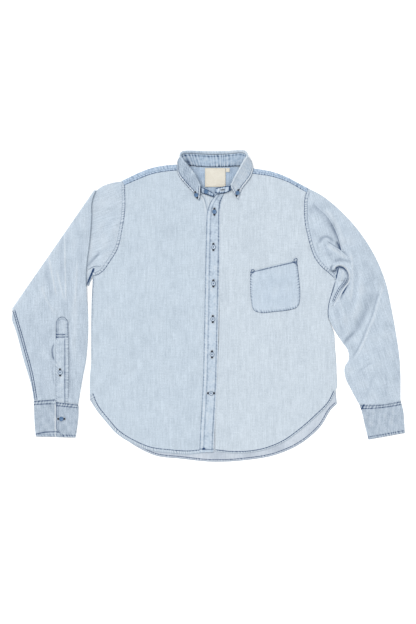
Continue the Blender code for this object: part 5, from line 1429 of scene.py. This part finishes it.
def seam_strip(path, start, width, height, seed, period, rise, dark, pale, plain, swell):
    """A felled seam, a hem or the rolled edge of a fold: a low ridge along a path.

    Its points lie at offsets across the path from start to start + width, and a margin each
    side where it dives into the cloth. Its lift is rise times (1 - |2 t - 1| cubed) across,
    with uneven waves along. The grooves at its two edges have the two darknesses, pale is
    that of the waves' crests, and plain is added to the whole ridge. On a seam or hem these are
    the wash's dark grooves and pale crests; on the rolled edge of a fold they are painted shade
    and painted highlight. All of this wear and shading is multiplied by the swell's two values
    at the ends of the path and by those between them.
    """
    line = even_path(path, SEAM_STEP)
    across = np.linspace(start - SEAM_MARGIN, start + width + SEAM_MARGIN, SEAM_COLUMNS)
    plan = line[:, None] + sideways(line)[:, None] * across[None, :, None]
    t = np.clip((across - start) / width, 0, 1)[None]
    along = run_lengths(line)[:, None]
    wave = puckers(along, across[None] * 0.95, period, seed)
    ridge = 1 - np.abs(2 * t - 1) ** 3
    beyond = np.maximum(start - across, across - start - width).clip(0)[None]
    lift = 0.25 + rise * ridge * (0.8 + 0.35 * wave) - 1.6 * beyond / SEAM_MARGIN
    points = lifted(plan, height)
    points[..., 2] = np.maximum(points[..., 2] + SHELL / 2 + lift - 0.35, 0.35)
    uneven = 1 - 1.4 * pale * puckers(along, 0, period * 1.3, seed + 50)
    from_first = across[None] - start
    grooves = (dark[0] * mark(from_first - 0.3, GROOVE_WIDTH)
               + dark[1] * mark(from_first - width + 0.3, GROOVE_WIDTH))
    ends = 0.4 + 0.6 * ease(along / 6) * ease((along[-1] - along) / 6)
    swelling = swell[0] + (swell[1] - swell[0]) * along / along[-1]
    return points, ((pale * wave + plain) * ridge - uneven * grooves) * ends * swelling


def body_or_sleeve(side_points, toward, sleeve):
    """A height function: the sleeve's on its side of an armhole line, the front's on the other."""
    def height(x, y):
        share = ease((toward * (x - edge_at(side_points, y)) + 1.0) / 2.0)
        return (1 - share) * front_height(x, y) + share * sleeve(x, y)
    return height


# --- small parts ---
STITCH_PITCH, STITCH_LENGTH, STITCH_WIDTH = 2.8, 2.0, 0.55
STITCH_CORNERS = np.array([(-0.5, 0, -0.25), (0, 0.5, 0), (0.5, 0, -0.25), (0, -0.5, 0),
                           (0, 0, 0.5), (0, 0, -0.5)])
STITCH_FACES = np.array([(0, 3, 4), (3, 2, 4), (2, 1, 4), (1, 0, 4), (3, 0, 5), (2, 3, 5),
                         (1, 2, 5), (0, 1, 5)])
RIM_STEPS = 32             # corners round a button


def grid_path(points, rows, columns):
    """Points and normals along a path of row and column positions of a grid."""
    rows, columns = np.broadcast_arrays(np.asarray(rows, float), np.asarray(columns, float))
    r = np.clip(np.floor(rows).astype(int), 0, points.shape[0] - 2)
    c = np.clip(np.floor(columns).astype(int), 0, points.shape[1] - 2)
    a, b = (rows - r)[:, None], (columns - c)[:, None]

    def at(values):
        return ((1 - a) * (1 - b) * values[r, c] + (1 - a) * b * values[r, c + 1]
                + a * (1 - b) * values[r + 1, c] + a * b * values[r + 1, c + 1])

    return at(points), unit(at(normals_of(points)))


def stitches(name, runs, material, off):
    """Sewing stitches: closed spindles of six corners, one each pitch along each run.

    A run is a line of points with their normals, and off is how far a stitch's middle
    stands above it.
    """
    corners = []
    for line, normals in runs:
        length = run_lengths(line)
        at = np.arange(STITCH_PITCH / 2, length[-1], STITCH_PITCH)
        up = unit(points_at(at, length, normals))
        run = unit(points_at(at + 0.5, length, line) - points_at(at - 0.5, length, line))
        axes = np.stack([STITCH_LENGTH * run, STITCH_WIDTH * unit(np.cross(up, run)),
                         STITCH_WIDTH * up], axis=1)
        middle = points_at(at, length, line) + up * off
        corners.append(middle[:, None] + STITCH_CORNERS[None] @ axes)
    corners = np.concatenate(corners)
    faces = STITCH_FACES[None] + len(STITCH_CORNERS) * np.arange(len(corners))[:, None, None]
    return write_mesh(name, corners.reshape(-1, 3), faces.reshape(-1, 3), material)


def surface_at(points, place):
    """The point of a grid of middle points over a place, and its upward normal.

    Both come from the plane that fits the 16 nearest points best.
    """
    flat = points.reshape(-1, 3)
    nearest = np.argsort(np.hypot(flat[:, 0] - place[0], flat[:, 1] - place[1]))[:16]
    ground = flat[nearest]
    slopes = np.column_stack([ground[:, :2] - np.array(place), np.ones(len(ground))])
    fit = np.linalg.lstsq(slopes, ground[:, 2], rcond=None)[0]
    return np.array([*place, fit[2]]), unit(np.array([-fit[0], -fit[1], 1.0]))


def closed_form(rings, first, last, outward=True):
    """Corners and triangles of rings joined in order, with a fan to a point at each end."""
    count = rings.shape[1]
    corners = np.vstack([rings.reshape(-1, 3), first, last])
    near = np.arange(len(corners) - 2).reshape(-1, count)
    far = np.roll(near, -1, axis=1)
    sides = [near[:-1], near[1:], far[1:], far[:-1]]
    if not outward:
        sides = [near[:-1], far[:-1], far[1:], near[1:]]
        near, far = far, near
    quads = np.stack(sides, axis=-1).reshape(-1, 4)
    fans = [np.column_stack([np.full(count, len(corners) - 2), near[0], far[0]]),
            np.column_stack([np.full(count, len(corners) - 1), far[-1], near[-1]])]
    return corners, np.vstack([quads[:, [0, 1, 2]], quads[:, [0, 2, 3]]] + fans)


def button_form():
    """Corners and triangles of a round button, its foot at the origin.

    Rings run out over the face and back under the foot. The face is a dish with a raised rim
    and four pits for the thread: its height at radius r and angle a is the dish's profile
    less the sum of exp(-(distance to a pit / pit size) to the power 4).
    """
    share = np.array([0.0, 0.06, 0.12, 0.18, 0.24, 0.30, 0.36, 0.42, 0.50, 0.60, 0.66, 0.72, 0.78,
                      0.85, 0.92, 0.97, 1.0, 1.0, 0.96, 0.85, 0.6, 0.0])
    face = (0.62 + 0.10 * share ** 2 + 0.32 * np.exp(-((share - 0.86) / 0.11) ** 2))[:15]
    height = np.concatenate([face, [0.84, 0.66, 0.42, 0.22, 0.06, 0.0, 0.0]]) * BUTTON_HEIGHT
    angles = np.linspace(0, 2 * np.pi, RIM_STEPS, endpoint=False)
    x, y = (np.outer(share * BUTTON_RADIUS, way) for way in (np.cos(angles), np.sin(angles)))
    pits = sum(np.exp(-(np.hypot(x - PIT_RADIUS * np.cos(hole), y - PIT_RADIUS * np.sin(hole))
                        / PIT_SIZE) ** 4) for hole in np.radians([45, 135, 225, 315]))
    z = np.repeat(height[:, None], RIM_STEPS, axis=1)
    z[:15] -= 0.8 * np.clip(pits[:15], 0, 1)
    return closed_form(np.dstack([x, y, z])[1:-1], (0, 0, z[0, 0]), (0, 0, 0))


def placed(form, ground, normal, turn=0.0):
    """A small form set on the cloth: its Z along the normal, turned about it."""
    ahead = np.array([np.cos(turn), np.sin(turn), 0.0])
    ahead = unit(ahead - normal * (ahead @ normal))
    return ground + form[0] @ np.array([ahead, np.cross(normal, ahead), normal]), form[1]


def bar(start, end, width, height, count=7, level=0.0):
    """A closed low bar between two points at one level: an eight-sided section, rounded ends."""
    start, end = np.array(start, float), np.array(end, float)
    run = unit(end - start)
    side = np.array([-run[1], run[0]])
    share = np.linspace(0, 1, count)
    girth = np.sqrt(np.clip(1 - (2 * share - 1) ** 6, 0.02, 1))[:, None]
    angles = np.linspace(0, 2 * np.pi, 8, endpoint=False)
    centre = start + (end - start) * share[:, None]
    plan = centre[:, None] + side * (width / 2 * girth * np.cos(angles))[..., None]
    rings = np.dstack([plan, level + height / 2 * girth * np.sin(angles)])
    return closed_form(rings, np.append(start, level), np.append(end, level), outward=False)


def join_forms(forms):
    """Corners and triangles of several forms as one pair of arrays."""
    starts = np.cumsum([0] + [len(corners) for corners, _ in forms[:-1]])
    corners = np.vstack([corners for corners, _ in forms])
    return corners, np.vstack([faces + start for (_, faces), start in zip(forms, starts)])


def buttonhole(length):
    """A buttonhole's thread: two long bars with a bar tack across each end."""
    half, gap, tack = length / 2, 3.3, 2.6
    long = [bar((-half, y), (half, y), 1.1, 0.8, 15) for y in (gap, -gap)]
    return join_forms(long + [bar((x, -tack), (x, tack), 1.1, 0.9) for x in (-half - 0.7, half + 0.7)])


def button_thread():
    """Two stitches side by side through a button's four holes."""
    return join_forms([bar((-1.2, y), (1.2, y), 0.75, 0.7, level=0.62 * BUTTON_HEIGHT + 0.05)
                       for y in (-0.95, 0.95)])


# --- making it ---
def make_cloth():
    """Every cloth piece on the solid that it stands for, which it hides; the size it was cut to (metres)
    is listed but not used.
    """
    cloths = {name: denim("denim_" + name, *look) for name, *look in (
        ("front_right", FRONT_RIGHT_BLUE, 1.1, 1.0, 0.5),
        ("front_left", FRONT_LEFT_BLUE, 1.1, 1.0, 0.55),
        ("back", BACK_BLUE), ("yoke", YOKE_BLUE, 1.6), ("sleeve", SLEEVE_BLUE, 1.6, 1.2),
        ("cuff", CUFF_BLUE, 2.0), ("placket", PLACKET_BLUE), ("pocket", POCKET_BLUE),
        ("collar", COLLAR_BLUE, 2.3), ("stand", STAND_BLUE, 1.4))}
    cloths["label"] = label_cotton()
    right = front_grid(ARMHOLE_RIGHT, SHOULDER_TIP_RIGHT, SIDE_RIGHT, HEM_RIGHT, STAND_EDGE,
                       FRONT_YOKE_RIGHT, NECKLINE_RIGHT)
    left = front_grid(ARMHOLE_LEFT, SHOULDER_TIP_LEFT, SIDE_LEFT, HEM_LEFT[::-1], LEFT_EDGE,
                      FRONT_YOKE_LEFT[::-1], NECKLINE_LEFT[::-1])
    grids = {}
    for name, cloth, wall, slot, node, flat, area, held, rests, grid in (
            ("back", "back", SHELL, "body", "back_panel", (0.62, 0.64), 0.345, "laid", [],
             back_grid()),
            ("yoke", "yoke", SHELL, "yoke", "yoke", (0.50, 0.13), 0.050, "folded", ["back_panel"],
             yoke_grid()),
            ("front_right", "front_right", SHELL, "body", "front_right_panel", (0.33, 0.72), 0.18,
             "laid", ["back_panel"], right),
            ("front_left", "front_left", SHELL, "body", "front_left_panel", (0.31, 0.70), 0.17,
             "laid", ["back_panel"], left),
            ("placket", "placket", DOUBLED, "body", "front_placket", (0.037, 0.66), 0.0237,
             "laid", ["front_left_panel", "front_right_panel"], placket_grid()),
            ("pocket", "pocket", SHELL, "body", "pocket", (0.122, 0.130), 0.0129, "laid",
             ["front_left_panel"], pocket_grid()),
            ("sleeve_left", "sleeve", SHELL, "sleeve", "sleeve_left", (0.46, 0.56), 0.145,
             "folded", [], left_sleeve_grid()),
            ("sleeve_right", "sleeve", SHELL, "sleeve", "sleeve_right", (0.50, 0.62), 0.20,
             "folded", [], right_sleeve_grid()),
            ("cuff_left", "cuff", DOUBLED, "sleeve", "cuff_left", (0.20, 0.080), 0.0155,
             "folded", [], left_cuff_grid()),
            ("cuff_right", "cuff", DOUBLED, "sleeve", "cuff_right", (0.24, 0.092), 0.0215,
             "folded", [], right_cuff_grid()),
            ("sleeve_placket", "sleeve", SHELL, "sleeve", "sleeve_placket_right", (0.032, 0.205),
             0.0062, "laid", ["sleeve_right"], sleeve_placket_grid()),
            ("stand", "stand", DOUBLED, "collar", "collar_stand", (0.44, 0.030), 0.0105,
             "folded", ["yoke"], stand_grid()),
            ("collar", "collar", DOUBLED, "collar", "collar", (0.42, 0.060), 0.0150, "folded",
             ["collar_stand"], collar_grid()),
            ("neck_label", "label", TAPE, None, "neck_label", (0.052, 0.048), 0.00245, "laid",
             ["yoke"], label_grid(LABEL_BOX, 0.5)),
            ("size_tag", "label", TAPE, None, "size_tag", (0.010, 0.011), 0.00009, "laid",
             ["yoke"], label_grid(TAG_BOX, 0.2))):
        piece = add_shell(name + "_cloth", cloths[cloth], wall, *grid,
                          closed=name in ("sleeve_left", "sleeve_right", "cuff_left"))
        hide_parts(node)
        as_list(rests)
        grids[name] = grid[0]
    return grids, cloths


def make_seams(cloths, sewing):
    """The raised seams and hems, the rolled edges of folds with their painted shade and highlights, and
    the stitches in the seams' grooves.
    """
    right_top, left_top = height_of(base_surface), height_of(left_sleeve_surface)
    right_arm = body_or_sleeve(ARMHOLE_RIGHT + [SHOULDER_TIP_RIGHT], -1, right_top)
    left_line = ARMHOLE_LEFT + [SHOULDER_TIP_LEFT]
    left_arm = body_or_sleeve(left_line, 1, left_top)
    runs = []
    for name, cloth, path, *form in (
            ("armhole_seam_right", "sleeve", ARMHOLE_SEAM_RIGHT, -0.6, 8.0, right_arm, 131, 6.5,
             0.7, (0.95, 0.35), 0.45, 0, EVEN),
            ("armhole_seam_left", "sleeve", left_line[::-1][1:-1], -0.6, 8.0, left_arm, 132, 6.5,
             0.7, (0.92, 0.35), 0.45, 0, EVEN),
            ("yoke_seam_right", "yoke", FRONT_YOKE_RIGHT, -1.6, 5.6, level(UP), 133, 7.0, 0.5,
             (0.90, 0.35), 0.4, 0, EVEN),
            ("yoke_seam_left", "yoke", FRONT_YOKE_LEFT, -1.6, 5.6, level(UP), 134, 7.0, 0.5,
             (0.80, 0.35), 0.4, 0, EVEN),
            ("front_hem_right", "front_right", HEM_RIGHT, -0.2, 8.4, front_height, 135, 5.5, 0.8,
             (0.10, 1.3), 0.5, 0, EVEN),
            ("front_hem_left", "front_left", HEM_LEFT, -0.2, 4.4, front_height, 136, 5.5, 0.8,
             (0.10, 1.4), 0.4, 0, EVEN),
            ("back_hem", "back", BACK_HEM, -0.2, 4.4, level(LOW), 137, 5.5, 0.8,
             (0.15, 1.05), 0.35, 0, EVEN),
            ("sleeve_seam_right", "sleeve", FELLED_SEAM, -1.5, 6.4, height_of(turned_surface), 138,
             6.0, 0.6, (1.15, 1.15), 0.25, -0.15, EVEN),
            ("sleeve_seam_left", "sleeve", TONGUE_SEAM, -2.4, 4.6, left_top, 139, 4.5, 0.8,
             (1.15, 1.15), 0.4, 0.1, (0.7, 0.9)),
            # the left side seam under the arm, its whole ridge darkened: the seam's own dark and painted
            # shade of the underarm crease
            ("side_seam_left", "front_left", UNDERARM_LEFT, -1.2, 3.2, front_height, 140, 9.0, 0.2,
             (0.6, 0.6), 0.1, -0.6, (0.5, 1.5)),
            ("side_seam_right", "front_right", SIDE_SEAM_RIGHT, 1.6, 3.2, front_height, 149, 8.0,
             0.3, (0.8, 0.1), 0.2, 0.1, (1.0, 0.3)),
            # strips of folds: dark grooves and plain values below 0 are painted shade, as in
            # armpit_fold_cave, armpit_fold_shade, armpit_fold_inner and armpit_fold_right; pale ridges
            # and plain values above 0 are painted highlights
            ("armpit_fold_top", "sleeve", LOOP_TOP, -2.4, 5.6, left_top, 141, 30.0, 1.4,
             (1.5, 0.0), 0.05, 0.6, (1.0, 0.8)),
            ("armpit_fold_low", "sleeve", LOOP_LOW, -1.6, 3.4, left_top, 142, 30.0, 1.2,
             (0.9, 0.0), 0.05, 0.75, (1.0, 0.6)),
            ("armpit_fold_cave", "sleeve", LOOP_CAVE, -2.2, 3.6, left_top, 151, 30.0, 0.2,
             (0.3, 0.9), 0.05, -1.1, (1.2, 0.5)),
            ("armpit_fold_shade", "sleeve", LOOP_SHADE, -1.0, 3.2, left_top, 150, 30.0, 0.1,
             (0.4, 0.4), 0.05, -0.9, (0.3, 1.4)),
            ("armpit_fold_curl", "sleeve", LOOP_CURL, -1.4, 3.0, left_top, 143, 30.0, 1.0,
             (1.0, 0.8), 0.05, 0.45, EVEN),
            ("armpit_fold_inner", "sleeve", LOOP_INNER, -1.2, 2.4, left_top, 144, 30.0, 0.3,
             (0.6, 0.6), 0.05, -0.7, (1.2, 0.8)),
            ("sleeve_fold_valley", "sleeve", VALLEY_LEFT, -1.3, 3.0, left_top, 145, 30.0, 0.4,
             (1.0, 0.0), 0.05, 0.40, (0.2, 1.2)),
            ("sleeve_fold_ridge", "sleeve", RIDGE_LEFT, -1.5, 3.0, left_top, 146, 30.0, 0.6,
             (0.0, 0.95), 0.05, 0.40, (0.9, 0.5)),
            ("armpit_fold_right", "sleeve", ARMPIT_RIGHT, -3.4, 5.0, right_top, 147, 9.0, 0.2,
             (0.9, 0.3), 0.4, -0.9, (1.4, 0.7)),
            ("armpit_fold_arc", "sleeve", ARMPIT_ARC_RIGHT, -2.0, 3.4, right_top, 148, 30.0, 0.8,
             (1.0, 0.1), 0.05, 0.35, (1.2, 0.5))):
        points, wear_and_shading = seam_strip(path, *form)
        piece = add_shell(name, cloths[cloth], SEAM_SHELL, points, wear_and_shading)
        girth = np.linalg.norm(np.diff(points, axis=1), axis=2).sum(axis=1).mean() * MM
        length = run_lengths(points[:, 9])[-1] * MM
        if "fold" not in name:
            rows = np.arange(len(points) - 1.0)
            runs += [grid_path(points, rows, column) for column in (2.8, SEAM_COLUMNS - 3.8)]
    stitches("seam_stitches", runs, sewing, 0.35)


def make_stitches(grids, sewing, tack_thread):
    """The sewn lines of the small pieces, and the tacks at the pocket's corners."""
    def down(grid, column, first=0.0, last=1.0):
        rows = np.arange(first * (grid.shape[0] - 1), last * (grid.shape[0] - 1), 1.0)
        return grid_path(grid, rows, column)

    def across(grid, row, first=0.0, last=1.0):
        columns = np.arange(first * (grid.shape[1] - 1), last * (grid.shape[1] - 1), 1.0)
        return grid_path(grid, row, columns)

    def sew(name, slot, *runs, off=0.65):
        stitches(name, runs, sewing, off)

    placket, pocket, strip = grids["placket"], grids["pocket"], grids["sleeve_placket"]
    stand, collar, lap = grids["stand"], grids["collar"], grids["cuff_right"][:, -CUFF_OVER:]
    sew("placket_stitches", "body_denim", down(placket, 6.5), down(placket, 26 * 31 / 36))
    sew("pocket_stitches", "body_denim", down(pocket, 3.2, 0.02, 0.98),
        down(pocket, 80.8, 0.02, 0.98), across(pocket, 3.4, 0.02, 0.98), off=0.45)
    tacks = []
    for corner in POCKET_TACKS:
        height = surface_at(pocket, np.mean(corner, axis=0))[0][2] + 0.7
        tacks += [bar(start, end, 1.7, 0.9, level=height)
                  for start, end in zip(corner, corner[1:] + corner[:1])]
    write_mesh("pocket_tacks", *join_forms(tacks), tack_thread)
    sew("sleeve_placket_stitches", "sleeve_denim", down(strip, 4.2, 0, 0.92),
        down(strip, 17.8, 0, 0.92), off=0.45)
    sew("stand_stitches", "collar_denim", across(stand, 2.0, 0.01, 0.99),
        across(stand, 21.5, 0.01, 0.99))
    sew("collar_stitches", "collar_denim", across(collar, 42.5, 0.01, 0.99))
    sew("cuff_stitches", "sleeve_denim", across(lap, 1.3), across(lap, 5.6), across(lap, 57.0),
        down(lap, 36.6, 0.06, 0.94))


def make_buttons(grids, plastics, sewing, hole_thread, slit_shade):
    """Buttons with their thread, and the buttonholes, all set on the cloth below them."""
    form, thread_form = button_form(), button_thread()
    radius = np.hypot(form[0][:, 0], form[0][:, 1]) / BUTTON_RADIUS
    lap = grids["cuff_right"][:, -CUFF_OVER:]
    quarter = np.pi / 2
    turns = [quarter] * (len(FRONT_BUTTONS) - 1) + [0.0]
    fastened = [(f"front_button_{number}", grids["placket"], place, DOUBLED, turn)
                for number, (place, turn) in enumerate(zip(FRONT_BUTTONS, turns), start=1)]
    fastened += [("collar_button_right", grids["collar"], COLLAR_BUTTON_RIGHT, DOUBLED, 1.9),
                 ("collar_button_left", grids["collar"], COLLAR_BUTTON_LEFT, DOUBLED, 1.25),
                 ("stand_button", grids["stand"], STAND_BUTTON, DOUBLED, 2.6),
                 ("cuff_button_right", lap, CUFF_BUTTON, DOUBLED, 0.0),
                 ("sleeve_placket_button_right", grids["sleeve_placket"], SLEEVE_PLACKET_BUTTON,
                  CLOTH_ROOM, 1.6)]
    faded = {f"front_button_{number}" for number in range(2, 7)} | {"sleeve_placket_button_right"}
    threads, holes, slit_shades = [], [], []

    def cut_hole(ground, normal, wall, turn, length, width):
        foot = ground + normal * (wall / 2 + (0.5 if wall == DOUBLED else 0.0))
        # a dark bar over the buttonhole's opening: painted shade in the gap
        slit_shade_bar = bar((-length / 2, 0), (length / 2, 0), width, 0.8, 15)
        holes.append(placed(buttonhole(length), foot, normal, turn))
        slit_shades.append(placed(slit_shade_bar, foot, normal, turn))

    for name, grid, place, wall, turn in fastened:
        ground, normal = surface_at(grid, place)
        foot = ground + normal * (wall / 2 + BUTTON_CLEARANCE)
        piece = write_mesh(name + "_disc", *placed(form, foot, normal, turn),
                           plastics[name in faded], wear_and_shading=radius)
        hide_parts(name)
        threads.append(placed(thread_form, foot, normal, turn + 0.4))
        if name != "stand_button":
            width = CUFF_HOLE_WIDTH if "cuff" in name else HOLE_WIDTH
            cut_hole(ground, normal, wall, turn, HOLE_LENGTH, width)
    cut_hole(*surface_at(grids["stand"], TAB_HOLE), DOUBLED, 0.1, TAB_HOLE_LENGTH, TAB_HOLE_WIDTH)
    for name, forms, material, slot in (("button_threads", threads, sewing, "button_plastic"),
                                        ("buttonhole_threads", holes, hole_thread, "body_denim"),
                                        ("buttonhole_slit_shade", slit_shades, slit_shade, "body_denim")):
        write_mesh(name, *join_forms(forms), material)


def make_stage():
    """White floor, even light from all round, one broad lamp from the upper left, camera."""
    half, lamp_height, eye_height, field = 6.0, 2.4, 4.0, 1.56       # metres
    scene = bpy.context.scene
    mesh = bpy.data.meshes.new("studio_floor")
    mesh.from_pydata([(-half, -half, 0), (half, -half, 0), (half, half, 0), (-half, half, 0)], [],
                     [(0, 1, 2, 3)])
    mesh.materials.append(floor_paint())
    floor = in_scene("studio_floor", mesh)
    floor.location.z = -0.0002
    scene.world = bpy.data.worlds.new("studio_air")
    scene.world.use_nodes = True
    air = scene.world.node_tree.nodes["Background"]
    air.inputs[0].default_value = AIR_TINT + (1.0,)
    air.inputs[1].default_value = AIR_LIGHT
    lamp = bpy.data.lights.new("soft_lamp", "SUN")
    lamp.angle = LAMP_ANGLE
    lamp.color = LAMP_TINT
    lamp.energy = np.pi * (LIGHT_LEVEL - AIR_LIGHT) / np.cos(LAMP_SLANT)
    holder = in_scene("soft_lamp", lamp)
    aim = (np.sin(LAMP_SLANT) * 0.71, -np.sin(LAMP_SLANT) * 0.71, -np.cos(LAMP_SLANT))
    holder.rotation_euler = Vector(aim).to_track_quat("-Z", "Y").to_euler()
    holder.location = (-1.7, 1.9, lamp_height)
    camera = bpy.data.cameras.new("straight_down")
    camera.sensor_width = 36
    camera.lens = camera.sensor_width * eye_height / field
    eye = in_scene("straight_down", camera)
    eye.location = (-0.0011, -0.01625, eye_height)
    scene.camera = eye
    scene.view_settings.view_transform = "Standard"


def make_all():
    """Make the shirt and the studio."""
    sewing = thread("sewing_thread", THREAD)
    hole_thread = thread("buttonhole_thread", (206, 217, 228))
    slit_shade = thread("buttonhole_shade", (13, 20, 36))
    plastics = (button_plastic("button_blue", (100, 140, 182), (84, 124, 166), (70, 104, 146)),
                button_plastic("button_faded", (112, 142, 178), (200, 213, 225), (116, 142, 174)))
    grids, cloths = make_cloth()
    make_seams(cloths, sewing)
    make_stitches(grids, sewing, thread("tack_thread", (88, 112, 148)))
    make_buttons(grids, plastics, sewing, hole_thread, slit_shade)
    make_stage()


make_all()
